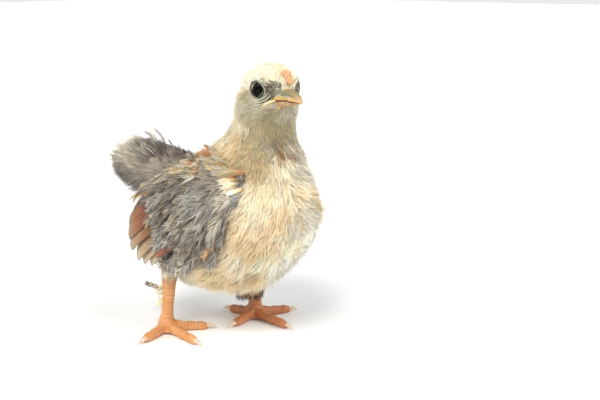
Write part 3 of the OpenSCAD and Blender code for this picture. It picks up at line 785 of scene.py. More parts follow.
# ---------------------------------------------------------------- feathers
def feathers(out, root, way, normal, length, width, shades, rng, barbs=16, angle=38, droop=0.12, arch=0.10,
             loose=0.12, barb_width=0.3, shaft=None, shaft_width=0.25, round_tip=0.5):
    """Adds feathers: a shaft with barbs at both sides. shades(s, side, k) gives a barb's colour
    at s along feather k."""
    m = len(root)
    root, way, normal = np.asarray(root, float), unit(np.asarray(way, float)), unit(np.asarray(normal, float))
    length = np.broadcast_to(length, (m,)).astype(float)
    width = np.broadcast_to(width, (m,)).astype(float)
    across = np.cross(normal, way)
    k = np.repeat(np.arange(m), barbs * 2)
    s = np.tile(np.repeat((np.arange(barbs) + 0.5) / barbs, 2), m)
    s = np.clip(s + rng.normal(0, 0.25 / barbs, len(s)), 0.02, 0.99)
    sign = np.tile([1.0, -1.0], m * barbs)
    reach = np.sin(np.pi * np.clip(s * 0.86 + 0.12, 0, 1)) ** round_tip
    beta = np.radians(angle * (1.15 - 0.55 * s)) * (1 + rng.normal(0, loose, len(s)))
    centre = root[k] + (way[k] * s[:, None] + normal[k] * (arch * s * (1 - s) * 4)[:, None]
                        - normal[k] * (droop * 0.3 * s ** 2)[:, None]) * length[k][:, None]
    direction = way[k] * np.cos(beta)[:, None] + across[k] * (np.sin(beta) * sign)[:, None]
    direction += normal[k] * rng.normal(0, loose * 0.5, len(s))[:, None]
    long = (width[k] * 0.5 * reach / np.maximum(np.sin(beta), 0.25)
            * rng.uniform(1 - loose * 1.5, 1 + loose, len(s)))
    curl = -normal[k] * droop + way[k] * 0.10
    out.add(centre, direction, normal[k], long, barb_width * rng.uniform(0.8, 1.2, len(s)), curl,
            shades(s, sign, k), rng.normal(0, loose * 2, len(s)), 0.6)
    if shaft is not None:
        out.add(root + normal * 0.12, way + normal * arch * 1.2, normal, length * 0.95, shaft_width,
                -normal * (arch * 1.2 + droop * 0.1), shaft, 0, 0.5)


def blend_tones(t, names):
    """Colours along t from 0 to 1 through the named tones."""
    t = np.clip(t, 0, 1) * (len(names) - 1)
    i = np.minimum(t.astype(int), len(names) - 2)
    table = np.array([TONES[n] for n in names], float)
    w = (t - i)[:, None]
    return table[i] * (1 - w) + table[i + 1] * w


# Which style of covert lies where: style, forward, share of the wing's height.
WING_FIELD = [
    (6, 38, 0.95), (8, 43, 0.8), (2, 22, 0.88), (6, 8, 0.9), (2, -6, 0.9), (3, 33, 0.8), (5, 38, 0.65),
    (8, 40, 0.85), (3, 25, 0.72), (1, 14, 0.75), (6, 5, 0.78), (2, -4, 0.75), (8, 42, 0.45), (9, 36, 0.4),
    (9, 33, 0.55), (0, 24, 0.55), (7, 15, 0.58), (4, 6, 0.55), (5, -2, 0.6), (9, 38, 0.2), (1, 25, 0.35),
    (5, 16, 0.38), (4, 9, 0.4), (3, 3, 0.36), (6, 20, 0.2), (3, 12, 0.2), (5, 5, 0.2), (3, 16, 0.05),
    (6, 8, 0.06), (9, 28, 0.1), (2, 30, 0.25)]
# The tones of each style of covert, from its root to its tip.
WING_STYLES = [
    ("ash", "grey_white", "white"), ("slate", "ash", "grey_white"), ("umber", "ash", "sand"),
    ("ash", "silver", "white"), ("umber", "slate", "grey_white"), ("taupe", "beige", "white"),
    ("slate", "taupe", "cream"), ("taupe", "sand", "cream"), ("sand", "cream", "milk"),
    ("ash", "taupe", "silver")]
# The wing's height in mm, by which shares of it are compared with distances.
WING_HIGH = 55
# Feathers along the wing's lower edge and in it: forward, share of its height, length, width and
# tones. They are dark spots, a rusty band and barred quills.
MARKS = [
    (45, 0.72, 7, 4.0, ("umber", "peach", "cream")),
    (44.5, 0.62, 6, 3.6, ("umber", "sand", "peach_cream")), (43, 0.82, 7, 4, ("brown", "peach", "beige")),
    (42, 0.92, 7, 4, ("brown", "sand", "peach")), (46, 0.55, 6, 3, ("tan", "peach_cream", "white")),
    (30, 0.22, 6, 4.5, ("umber", "umber", "slate")), (22, 0.50, 6, 4.5, ("umber", "umber", "ash")),
    (26, 0.34, 6, 4, ("umber", "slate", "umber")), (34, 0.24, 6, 5, ("umber", "slate", "umber")),
    (33, 0.17, 6, 4.5, ("umber", "umber", "slate")), (36, 0.20, 6, 4, ("rust", "tan", "rust")),
    (37, 0.08, 9, 3.4, ("rust", "rust", "tan")), (33, 0.04, 10, 3.4, ("rust", "tan", "rust")),
    (28, 0.01, 10, 3.2, ("rust", "tan", "sand")), (24, -0.02, 9, 3, ("tan", "rust", "sand")),
    (18, 0.04, 13, 5, ("umber", "slate", "umber", "cream", "umber", "cream", "umber")),
    (14, 0.00, 12, 4.4, ("umber", "cream", "umber", "cream", "umber")),
    (37, 0.6, 8, 3.6, ("umber", "slate", "grey_white")), (34, 0.72, 9, 3.6, ("umber", "slate", "sand")),
    (26, 0.9, 11, 3.6, ("umber", "umber", "ash")), (20, 0.93, 11, 3.6, ("umber", "brown", "ash")),
    (15, 0.92, 12, 3.4, ("umber", "umber", "taupe")), (4, 0.9, 12, 3.6, ("umber", "umber", "taupe")),
    (-4, 0.88, 12, 3.6, ("umber", "slate", "tan")), (16, 0.5, 10, 4, ("umber", "slate", "ash")),
    (12, 0.58, 10, 4, ("umber", "umber", "tan")), (22, 0.62, 10, 4, ("umber", "slate", "sand")),
    (2, 0.62, 11, 4, ("umber", "slate", "grey_white")), (10, 0.36, 10, 4.2, ("umber", "umber", "ash"))]


def clear_of_key(side, f, v, r):
    """Whether places on a wing lie further than r from the key, which is on the left."""
    return (side < 0) | (np.hypot(-f - KEY_AT[0], wing_z(f, v) - KEY_AT[1]) > r)


def placed(side, f, v, off):
    """Places on a wing and the ways out there."""
    return wing_surface(side, f, v, off), wing_normal(side, f, v)


def wing_way(side, f, v, fan):
    """Direction along the wing, back and down, where fan tips it down."""
    e = 1.5
    back = wing_surface(side, f - e, v, 0) - wing_surface(side, f + e, v, 0)
    lower = (wing_surface(side, f, np.maximum(v - 0.03, 0), 0)
             - wing_surface(side, f, np.minimum(v + 0.03, 1), 0))
    back, lower = unit(back), unit(lower)
    return unit(back * np.cos(fan)[:, None] + lower * np.sin(fan)[:, None])


def coverts(out, side, seed, rng):
    """Rows of ragged feathers, dark at the root and pale at the tip."""
    count = 330
    f = rng.uniform(-9, 46, count)
    v = rng.uniform(0.0, 0.97, count)
    good = clear_of_key(side, f, v, 10.5) & (f > 6 - 15 * v) & (f < 41 + 5.5 * np.sin(v * math.pi))
    f, v = f[good], v[good]
    root, normal = placed(side, f, v, 1.0)
    stack = 1.1 + 1.0 * (f + 16) / 58 - 1.3 * smooth(f, 26, 43)
    root = root + normal * (stack + rng.uniform(-0.3, 0.4, len(f)))[:, None]
    fan = np.radians(38 - 26 * v + 12 * ripple(root, 16, seed + 9) + rng.normal(0, 10, len(f)))
    way = wing_way(side, f, v, fan)
    spot = np.array([[row[1], row[2] * WING_HIGH] for row in WING_FIELD], float)
    at = np.stack([f, v * WING_HIGH], -1) + rng.normal(0, 4.5, (len(f), 2))
    near = ((at[:, None] - spot[None]) ** 2).sum(-1).argmin(1)
    style = np.array([WING_FIELD[i][0] for i in near])
    pale = rng.uniform(0.56, 0.82, len(f))
    front = smooth(f, 41, 47) * 0.8

    def shades(s, sign, k):
        c = np.zeros((len(s), 3))
        for i, names in enumerate(WING_STYLES):
            mine = style[k] == i
            c[mine] = blend_tones(s[mine] * 1.25 - 0.12 + rng.normal(0, 0.1, mine.sum()), names)
        c = c * pale[k][:, None]
        w = (front[k] * (rng.random(len(s)) < 0.7))[:, None]
        c = c * (1 - w) + tone("cream") * w
        fleck = (rng.random(len(s)) < 0.03)[:, None]
        return np.where(fleck, tone("umber") * 1.1, c)

    feathers(out, root, way + normal * 0.08, normal, rng.uniform(10, 15, len(f)) * (1 - 0.35 * front),
             rng.uniform(4.2, 6.8, len(f)), shades, rng, barbs=26, angle=33, droop=0.15, arch=0.06,
             loose=0.17, barb_width=0.24, shaft=tone("grey_white") * 0.8, shaft_width=0.10,
             round_tip=0.6)


def wing_tufts(out, side, seed, rng):
    """Pale down that breaks through between the coverts."""
    count = 11000
    f = rng.uniform(-12, 45, count)
    v = rng.uniform(-0.04, 0.92, count)
    good = clear_of_key(side, f, v, 9.5) & (f > 4 - 15 * v)
    f, v = f[good], v[good]
    root, normal = placed(side, f, v, 1.6)
    fan = 36 - 20 * v + ripple(root, 14, seed + 4) * 22 + rng.normal(0, 12, len(f))
    way = wing_way(side, f, v, np.radians(fan))
    patch = (ripple(root, 12, seed + 5) * 0.6 + 0.45 * ripple(root, 5, seed + 6)
             + 0.45 * (v < 0.45) - 0.25 * (v > 0.7))
    c = tone("slate") + 0 * root
    for least, name in ((-0.6, "ash"), (0.05, "grey_white"), (0.75, "white")):
        c[patch > least] = tone(name)
    root = root + normal * rng.uniform(0, 1.6, len(f))[:, None]
    out.add(root, way + normal * 0.32, normal, rng.uniform(3.5, 7, len(f)), 0.12, -normal * 0.2,
            c * rng.uniform(0.57, 0.80, (len(f), 1)), rng.uniform(-0.9, 0.9, len(f)), 0.6)


def edge_band(out, side, rng):
    """The tan band along the upper edge."""
    count = 96
    f = np.sort(rng.uniform(-20, 46, count))
    v = rng.uniform(0.92, 1.12, count)
    root, normal = placed(side, f, v, 2.0)
    root = root + normal * (1.0 + rng.uniform(0, 0.6, count))[:, None]
    way = wing_way(side, f, v, np.radians(rng.normal(1, 4, count)))
    kind = rng.random(count)

    def shades(s, sign, k):
        c = blend_tones(s, ("tan", "sand", "beige")) * 0.86
        c = np.where((f[k] < 6)[:, None], blend_tones(s, ("umber", "taupe", "sand")) * 0.9, c)
        c = np.where((kind[k] < 0.2)[:, None], blend_tones(s, ("slate", "tan", "sand")), c)
        spot = ((f[k] > 22) & (f[k] < 34) & (kind[k] > 0.45))[:, None]
        c = np.where(spot, blend_tones(s, ("umber", "rust", "tan")), c)
        return c * rng.uniform(0.85, 1.1, (len(s), 1))

    feathers(out, root, way + normal * 0.02, normal, rng.uniform(11, 17, count),
             rng.uniform(2.4, 3.6, count), shades, rng, barbs=18, angle=24, arch=0.06,
             barb_width=0.24, shaft=tone("sand"), shaft_width=0.13)


def pin_feathers(out, side, rng):
    """The marked feathers of MARKS, which lie over the coverts."""
    f, v, long, wide = (np.array([row[k] for row in MARKS], float) for k in range(4))
    root, normal = placed(side, f, v, 3.4)
    way = wing_way(side, f, v, np.radians(30 - 22 * v + rng.normal(0, 6, len(f))))

    def shades(s, sign, k):
        c = np.array([blend_tones(np.array([t]), MARKS[i][4])[0] for t, i in zip(s, k)])
        return c * rng.uniform(0.9, 1.1, (len(s), 1))

    feathers(out, root + normal * 0.4, way + normal * 0.02, normal, long + 2, wide, shades, rng,
             barbs=20, angle=32, droop=0.15, arch=0.05, barb_width=0.28, shaft=tone("ash"),
             shaft_width=0.13)


def shoulder_down(out, side, seed, rng):
    """The down of shoulder and breast that closes over the wing's front edge."""
    count = 6000
    f = rng.uniform(31, 49, count)
    v = rng.uniform(-0.35, 1.15, count)
    share = np.maximum(smooth(f, 43, 47), smooth(v, 0.12, -0.2) * smooth(f, 30, 36))
    good = rng.random(count) < share
    f, v = f[good], v[good]
    root, normal = placed(side, f, v, 0.2)
    root = root + normal * (2.3 * smooth(f, 46, 40))[:, None]
    fan = 48 - 24 * v + ripple(root, 15, seed + 8) * 16 + rng.normal(0, 10, len(f))
    way = wing_way(side, f, v, np.radians(fan))
    c = down_tone(root + rng.normal(0, 1.5, root.shape)) * rng.uniform(0.9, 1.08, (len(f), 1))
    out.add(root, way + normal * 0.25, normal, rng.uniform(5, 8.5, len(f)), 0.17, -normal * 0.18, c,
            rng.uniform(-0.9, 0.9, len(f)), 0.7)


def build_wing(side, seed):
    """One folded wing without its flight feathers."""
    rng = np.random.default_rng(seed)
    out = Strands()
    coverts(out, side, seed, rng)
    wing_tufts(out, side, seed, rng)
    edge_band(out, side, rng)
    pin_feathers(out, side, rng)
    shoulder_down(out, side, seed, rng)
    return out


wings = {-1: build_wing(-1, 61), 1: build_wing(1, 71)}

# ---------------------------------------------------------------- tail
# The rounded form that the tips of the tail's down reach to.
TAIL_MID, TAIL_SIZE = np.array([0, 54.5, 84.6]), np.array([12.5, 26.5, 17])
# The tail's core: y, z, half-width and half-height of its rings.
TAIL_ROWS = np.array([[8, 84, 5, 6], [22, 82, 9, 11], [36, 83.5, 9.5, 12.6], [53, 85.5, 8, 10.5],
                      [61, 86.5, 6, 8.5]], float)
TAIL_ROOT = np.array([0, 14, 80])


def tail_surface(t, a, off=0.0):
    """The tail's core along t from 0 to 1, and over its round end from 1 to 2."""
    row = [np.interp(np.minimum(t, 1) * 4, range(5), TAIL_ROWS[:, k]) for k in range(4)]
    end = np.clip(t - 1, 0, 1) * math.pi / 2
    wide, high = (row[2] + off) * np.cos(end), (row[3] + off) * np.cos(end)
    return np.stack([wide * np.cos(a), row[0] + 6 * np.sin(end), row[1] + high * np.sin(a)], -1)


# Where each tone of the tail lies: y and z in bird mm.
TAIL_TONES = [
    ("silver", 83, 84), ("silver", 79, 93), ("white", 72, 98), ("ash", 70, 86), ("slate", 71, 78),
    ("umber", 66, 72), ("slate", 79, 77), ("slate", 58, 72), ("taupe", 64, 92), ("umber", 54, 98),
    ("slate", 46, 97), ("silver", 50, 101), ("umber", 36, 98), ("umber", 28, 97), ("umber", 44, 99),
    ("white", 74, 94), ("white", 70, 102), ("taupe", 56, 90), ("ash", 58, 81), ("ash", 48, 76),
    ("taupe", 40, 88), ("taupe", 30, 94), ("taupe", 26, 84)]
TAIL_AT = np.array([[y, z] for _, y, z in TAIL_TONES], float)
TAIL_TONE = np.array([TONES[name] for name, _, _ in TAIL_TONES], float) * 1.04


def tail_tone(p):
    """The tone of the tail at places p, blended between the nearest marks."""
    d = ((p[:, None, 1:] - TAIL_AT[None]) ** 2).sum(-1) + 3
    w = d ** -2.0
    return (w @ TAIL_TONE) / w.sum(1)[:, None]


def build_tail(seed):
    """The tail: loose down that fans out from its root, with half-grown feathers in it."""
    rng = np.random.default_rng(seed)
    out = Strands()
    count = 2300
    t = rng.uniform(0.15, 1.9, count)
    a = rng.uniform(0, 2 * math.pi, count)
    p = tail_surface(t, a, -0.6)
    row_y = np.minimum(p[:, 1], 61)
    n = unit((p - np.stack([0 * row_y, row_y - 3, np.interp(row_y, TAIL_ROWS[:, 0], TAIL_ROWS[:, 1])], -1))
             / np.array([0.8, 1, 1]))
    way = unit((p - TAIL_ROOT) * np.array([1.2, 1, 1.5]))
    way = unit(way + n * 0.22)
    swing = (ripple(p, 15, seed) * 0.28)[:, None]
    way = unit(way * np.cos(swing) + np.cross(n, way) * np.sin(swing))
    q, w = (p - TAIL_MID) / TAIL_SIZE, way / TAIL_SIZE
    qa, qb, qc = (w * w).sum(1), (q * w).sum(1), (q * q).sum(1) - 1
    reach = (-qb + np.sqrt(np.maximum(qb * qb - qa * qc, 0))) / qa
    reach = np.clip(reach, 5.5, 17) * (1 + 0.14 * ripple(p, 9, seed + 3))
    c = tail_tone(p + way * (reach * 0.75)[:, None] + rng.normal(0, 2.2, p.shape))
    c = c * (1 + 0.10 * ripple(p, 6, seed + 1) + rng.normal(0, 0.06, count))[:, None]
    k = np.repeat(np.arange(count), 15)
    total = len(k)
    off = flat_to(rng.normal(0, 1.3, (total, 3)), n[k])
    turn = rng.normal(0, 0.16, (total, 1))
    rise = rng.normal(0.05, 0.12, (total, 1))
    ahead = unit(way[k] + np.cross(n[k], way[k]) * turn + n[k] * rise)
    long = reach[k] * rng.uniform(0.62, 1.08, total)
    out.add(p[k] + off, ahead, unit(n[k] + 0.3 * way[k]), long, 0.17 * rng.uniform(0.7, 1.3, total),
            -off * 0.035 + np.array([0, 0, -0.05]), c[k] * rng.uniform(0.9, 1.1, (total, 1)),
            rng.uniform(-0.9, 0.9, total), 0.7)
    # half-grown feathers among the down of the tail
    count = 70
    t = rng.uniform(0.5, 1.6, count)
    a = rng.uniform(0, 2 * math.pi, count)
    p = tail_surface(t, a, 1.0)
    way = unit((p - TAIL_ROOT) * np.array([1.0, 1, 1.4]))
    n = unit(flat_to(p - np.array([0, 50, 85]), way))
    c = tail_tone(p + way * 9)
    feathers(out, p, way, n, rng.uniform(9, 13, count), rng.uniform(4, 6, count),
             lambda s, sign, k: c[k] * (0.75 + 0.4 * s)[:, None], rng, barbs=24, angle=30, droop=0.1,
             arch=0.04, loose=0.25, barb_width=0.2, shaft=tone("taupe"), shaft_width=0.1)
    return out


tail_down = build_tail(81)

# ---------------------------------------------------------------- leg fluff
def build_skirt(seed):
    """The down that hangs over the top of each leg, on the chick itself."""
    rng = np.random.default_rng(seed)
    out = Strands()
    for s, (y, z) in ARCH.items():
        count = 2600
        a = rng.uniform(-0.5, math.pi + 0.5, count)
        r = rng.uniform(8.6, 12.5, count)
        fy, fz = -(y + r * np.cos(a)), z + r * np.sin(a)
        root = np.stack([s * (side_x(fy, fz) - 0.2), -fy, fz], -1)
        n = unit(np.stack([s + 0 * a, 0 * a, -0.35 + 0 * a], -1))
        hang = np.stack([-s * 0.10 + 0 * a, -0.35 * np.cos(a) + 0.08, -1 + 0 * a], -1)
        way = unit(hang + rng.normal(0, 0.16, (count, 3)))
        c = down_tone(root + np.array([0, 0, -3])) * rng.uniform(0.86, 1.06, (count, 1))
        out.add(root, way, n, rng.uniform(3.4, 6.4, count) + 2.5 * (s > 0), 0.18,
                np.array([-s * 0.10, 0, 0]), c, rng.uniform(-0.9, 0.9, count), 0.7)
    return out


skirt = build_skirt(101)


# The legs' distance from the middle, and how far they lean back per mm down from the hock.
LEG_X, LEAN = 24.2, 0.144
LEG_AT = {s: np.array([s * LEG_X, ARCH[s][0]]) for s in (-1, 1)}
# The level way, back and to the right, in which the loose fluff of the legs stands out.
SIDEWAYS = unit(np.array([-0.65, 0.76]))
# The left thigh: its shift along SIDEWAYS, height and radius.
THIGH = [[1.5, 34.5, 4.8], [2.4, 31.5, 6.4], [3.6, 28, 6.9], [4.4, 23.5, 6.4], [4.2, 19.5, 5.4]]


def around(at, z, r, count, rng):
    """Places and outward ways round the leaning axis of a shank."""
    a = rng.uniform(0, 2 * math.pi, count)
    n = np.stack([np.cos(a), np.sin(a), 0 * a], -1)
    return np.stack([at[0] + 0 * a, at[1] + (HOCK_Z - z) * LEAN, z], -1) + n * r[:, None], n


def leg_cuff(out, at, rng):
    """The cuff at the top of a shank."""
    count = 500
    z = rng.uniform(34.5, 38.5, count)
    root, n = around(at, z, 3.9 + 0 * z, count, rng)
    c = blend_tones(smooth(z, 30, 38), ("ash", "sand", "cream")) * rng.uniform(0.85, 1.08, (count, 1))
    out.add(root, n * 0.35 + np.array([0, 0, -1]), n, rng.uniform(3, 5.5, count), 0.15, -n * 0.1, c,
            rng.uniform(-0.9, 0.9, count), 0.7)


def thigh_fluff(out, at, rng, seed):
    """The left thigh is let down, and its fluff ends in a brown fringe over the foot."""
    count = 7000
    z = rng.uniform(18.5, 33.5, count)
    rows = np.array(THIGH)[::-1]
    shift, r = np.interp(z, rows[:, 1], rows[:, 0]), np.interp(z, rows[:, 1], rows[:, 2])
    root, n = around(at, z, r, count, rng)
    root[:, :2] += SIDEWAYS * shift[:, None]
    low = smooth(z + rng.normal(0, 1.0, count), 30, 20)
    c = blend_tones(low, ("buff", "sand", "tan", "brown"))
    dark = (rng.random(count) < 0.22 * low)[:, None]
    c = np.where(dark, tone("umber"), c) * rng.uniform(0.85, 1.12, (count, 1))
    clump = unit(n + 0.5 * np.stack([ripple(root, 5, seed + 1), ripple(root, 5, seed + 2), 0 * z], -1))
    out.add(root, clump * 0.42 + np.array([0, 0, -1]), n, rng.uniform(5, 8.5, count), 0.19, -n * 0.06,
            c, rng.uniform(-0.9, 0.9, count), 0.65)


# Pale tufts on the back of the right shank: height, length, count and tones.
SHANK_TUFTS = [(23.5, 5.0, 150, ("cream", "white")), (17.5, 4.2, 110, ("white", "peach_cream")),
               (26.5, 3.2, 70, ("sand", "cream"))]
BARS = ("slate", "silver", "umber", "silver", "slate", "silver", "umber", "ash")


def shank_tufts(out, at, rng):
    """Pale tufts and one barred feather that cling to the back of the right shank."""
    for z0, long, count, names in SHANK_TUFTS:
        root = np.stack([at[0] + SIDEWAYS[0] * 2.9 + rng.normal(0, 0.7, count),
                         at[1] + (HOCK_Z - z0) * LEAN + SIDEWAYS[1] * 2.9 + rng.normal(0, 0.7, count),
                         z0 + rng.normal(0, 0.8, count)], -1)
        way = np.array([*SIDEWAYS, -0.1]) + rng.normal(0, 0.42, (count, 3))
        c = blend_tones(rng.random(count), names)
        out.add(root, way, np.array([-0.5, -0.3, 0.6]) + 0 * way, rng.uniform(0.6, 1.1, count) * long,
                0.15, rng.normal(0, 0.15, (count, 3)), c, rng.uniform(-0.9, 0.9, count), 0.5)
    feathers(out, np.array([[at[0] + SIDEWAYS[0] * 3.4, at[1] + 1.5 + SIDEWAYS[1] * 3.4, 24.6]]),
             np.array([[*SIDEWAYS, 0.42]]), np.array([[-0.55, -0.35, 0.7]]), 9.0, 3.6,
             lambda s, sign, k: blend_tones(s, BARS), rng, barbs=30, angle=34, droop=0.1, arch=0.04,
             barb_width=0.22, shaft=tone("silver"), shaft_width=0.12)


def build_leg_fluff(s, seed):
    """The fluff that moves with a leg."""
    rng = np.random.default_rng(seed)
    out = Strands()
    leg_cuff(out, LEG_AT[s], rng)
    if s > 0:
        thigh_fluff(out, LEG_AT[s], rng, seed)
    else:
        shank_tufts(out, LEG_AT[s], rng)
    return out


leg_fluff = {-1: build_leg_fluff(-1, 111), 1: build_leg_fluff(1, 121)}

# ---------------------------------------------------------------- palette and down pieces
groups = [head_down, neck_down, breast_down, back_down, fluff, wings[-1], wings[1], tail_down, skirt,
          leg_fluff[-1], leg_fluff[1]]
sample = np.concatenate([np.concatenate([p[6] for p in g.parts])[::3] for g in groups])
PALETTE = make_palette(sample, 44, 5)
down_mats = [fine_material(f"down_tone_{k:02d}", c) for k, c in enumerate(PALETTE)]


def shown(name, strands, body, replaced=()):
    """A piece of strands in the common palette."""
    return strand_piece(name, strands, PALETTE, down_mats, body, replaced)


shown("head_down_strands", head_down, "chick")
shown("neck_down_strands", neck_down, "chick")
shown("breast_down_strands", breast_down, "chick")
shown("back_down_strands", back_down, "chick")
shown("loose_fluff", fluff, "chick")
shown("wing_feathers_right", wings[-1], "chick", ("wing_right",))
shown("wing_feathers_left", wings[1], "chick", ("wing_left",))
shown("tail_down_strands", tail_down, "chick", ("tail",))
shown("leg_skirts", skirt, "chick")
shown("leg_fluff_right", leg_fluff[-1], "legs")
shown("leg_fluff_left", leg_fluff[1], "legs")

# ---------------------------------------------------------------- skins under the down
skin_tones = {
    "lemon": [(0.3, (196, 180, 128)), (0.5, (232, 220, 176)), (0.7, (246, 240, 212))],
    "cream": [(0.3, (186, 164, 126)), (0.5, (222, 200, 160)), (0.7, (242, 228, 198))],
    "grey": [(0.3, (84, 76, 66)), (0.5, (138, 127, 112)), (0.7, (190, 180, 164))],
    "yellow": [(0.3, (160, 132, 74)), (0.5, (200, 170, 106)), (0.7, (228, 204, 150))]}
skin_mats = [patterned(f"underdown_{k}", v, 420, (0.75, 0.95), (0.6, 0.0004), (1, 1, 0.25), sheen=0.3)
             for k, v in skin_tones.items()]
SPECKLED = [(0.38, (62, 64, 58)), (0.47, (112, 114, 98)), (0.54, (176, 176, 150)), (0.7, (214, 212, 184))]
skin_mats.append(patterned("speckled_skin", SPECKLED, 1900, (0.5, 0.8), (0.9, 0.0003), detail=2.0))


def build_underdown():
    """The patterned skin under the down, with openings for legs, eyes and key."""
    u, a = np.meshgrid(np.linspace(0, LAST, 121), np.linspace(0, 2 * math.pi, 97)[:-1], indexing="ij")
    flat = skin(u, a, -0.5).reshape(-1, 3)
    flat = flat + skin_normal(u.ravel(), a.ravel()) * (ripple(flat, 5, 3) * 0.25)[:, None]
    grid = flat.reshape(*u.shape, 3)
    mid = (grid[:-1] + grid[1:]) / 2
    mid = (mid + np.roll(mid, -1, 1)) / 2
    cells = mid.shape[:2]
    centres = mid.reshape(-1, 3)
    choices = np.array([stops[1][1] for stops in skin_tones.values()], float)
    far = ((down_tone(centres)[:, None] * 0.9 - choices[None]) ** 2).sum(-1)
    slots = far.argmin(1).reshape(cells)
    slots[on_lore(centres).reshape(cells)] = len(skin_mats) - 1
    drop = near_arch(centres, 9.6) | near_eye(centres, 2.5)
    drop |= (centres[:, 0] > 20) & (np.hypot(centres[:, 1] - KEY_AT[0], centres[:, 2] - KEY_AT[1]) < 6.4)
    me = grid_mesh("underdown", grid, skin_mats, close_v=True, caps=True, slots=slots,
                   drop=drop.reshape(cells))
    add_object("underdown", me, "chick", ("body_cover", "head_cover"))


build_underdown()

# ---------------------------------------------------------------- flight feathers and pads
# Each flight feather: its root as forward and share of the wing's height, its tip as x, y and z,
# its width, and its tones from root to tip.
BLADES = [
    ((-3, 0.93), (26.6, 36.2, 62.0), 8.6, ((60, 40, 28), (104, 64, 36), (134, 92, 58), (158, 124, 90))),
    ((-4, 0.78), (26.5, 39.8, 57.2), 8.4, ((112, 52, 24), (142, 72, 34), (150, 94, 54), (154, 120, 86))),
    ((-5, 0.62), (26.2, 41.2, 50.6), 8.4, ((114, 58, 28), (144, 82, 42), (160, 112, 70), (166, 134, 100))),
    ((-3, 0.48), (25.8, 40.6, 44.4), 8.4, ((120, 78, 44), (158, 114, 72), (178, 144, 104), (184, 160, 128))),
    ((0, 0.34), (25.4, 36.0, 39.2), 8.4, ((140, 104, 66), (178, 142, 102), (198, 170, 134), (206, 186, 156))),
    ((3, 0.26), (25.2, 31.2, 38.2), 8.2, ((156, 122, 84), (196, 166, 130), (214, 192, 160), (220, 204, 176))),
    ((6, 0.18), (25.6, 25.0, 38.4), 7.6,
     ((170, 142, 108), (206, 184, 150), (220, 204, 176), (232, 220, 198))),
    ((7, 0.07), (31.2, 11.0, 43.6), 4.8, ((30, 22, 16), (38, 28, 20), (50, 36, 26), (72, 54, 38))),
    ((9, 0.15), (32.4, 12.6, 46.2), 5.4, ((90, 46, 26), (140, 78, 46), (162, 96, 60), (196, 146, 104)))]


def vane_material(name, tones):
    """A feather vane: blotched tones from root to tip, fine barbs, a pale shaft and painted slit shade at its
    rims.
    """
    mat, tree, shader = new_material(name)
    uvs = add(tree, "ShaderNodeUVMap", uv_map="lay").outputs[0]
    parts = parted(tree, uvs)
    blotch = noise(tree, coords(tree, (3.5, 1.2, 1), "lay"), 3.0, 5)
    along = maths(tree, "MULTIPLY_ADD", blotch, 0.30, parts[0])
    base = ramp(tree, along, list(zip((0.45, 0.65, 0.88, 1.12), tones)))
    # barbs: fine lines that lean forward from the shaft at both sides
    lean = maths(tree, "PINGPONG", parts[1], 0.5)
    both = tree.nodes.new("ShaderNodeCombineXYZ")
    tree.links.new(maths(tree, "MULTIPLY_ADD", lean, 0.32, parts[0]), both.inputs[0])
    lines = noise(tree, both.outputs[0], 95, 4, 0.7)
    base = mixed(tree, ranged(tree, lines, 0, 0.9, 0.44, 0.74), base, tones[0])
    # shaft here masks both edges of the vane: their dark band is painted shade for the slits between the
    # blades
    shaft = ramp(tree, lean, [(0.0, (240, 240, 240)), (0.04, (190, 190, 190)), (0.10, (0, 0, 0))])
    base = mixed(tree, shaft, base, (64, 46, 34))
    mid = ramp(tree, lean, [(0.0, (0, 0, 0)), (0.476, (0, 0, 0)), (0.488, (110, 110, 110))])
    base = mixed(tree, mid, base, (226, 206, 176))
    tree.links.new(base, shader.inputs["Base Color"])
    tree.links.new(ranged(tree, lines, 0.5, 0.75), shader.inputs["Roughness"])
    bumped(tree, shader, lines, 0.8, 0.0006)
    return mat


vane_mats = [vane_material(f"vane_{k}", row[3]) for k, row in enumerate(BLADES)]


def blade(side, row, rng, n=44, m=13, lift=0.0):
    """One flight feather, which curves from the wing's surface to its free tip with a round end."""
    (f0, v0), tip, wide, _ = row
    s = np.linspace(0, 1, n)[:, None]
    start = wing_surface(side, np.array([f0]), np.array([v0]), 1.1 + lift)[0]
    end = np.array([side * (tip[0] + 0.3 * lift), tip[1], tip[2]])
    mid = (start + end) / 2
    mid[0] = side * (max(abs(start[0]), abs(end[0])) + 1.0)
    centre = (1 - s) ** 2 * start + 2 * s * (1 - s) * mid + s ** 2 * end
    along = unit(np.gradient(centre, axis=0))
    across = unit(np.cross(np.array([side, 0.25, 0.15]) + 0 * along, along)) * side
    normal = np.cross(along, across) * side
    s = s[:, 0]
    end = np.clip((s - 0.8) / 0.202, 0, 1)
    w = wide / 2 * (0.45 + 0.55 * smooth(s, 0, 0.3)) * np.sqrt(np.clip(1 - end ** 2, 0, 1))
    q = np.linspace(-1, 1, m)
    edge = 1 + 0.03 * np.sin(s * 40 + rng.uniform(0, 6))[:, None] * (np.abs(q) > 0.9)
    g = centre[:, None] + across[:, None] * (w[:, None] * q * edge)[..., None]
    g = g + normal[:, None] * (0.12 * w[:, None] * (1 - q ** 2))[..., None]
    return g


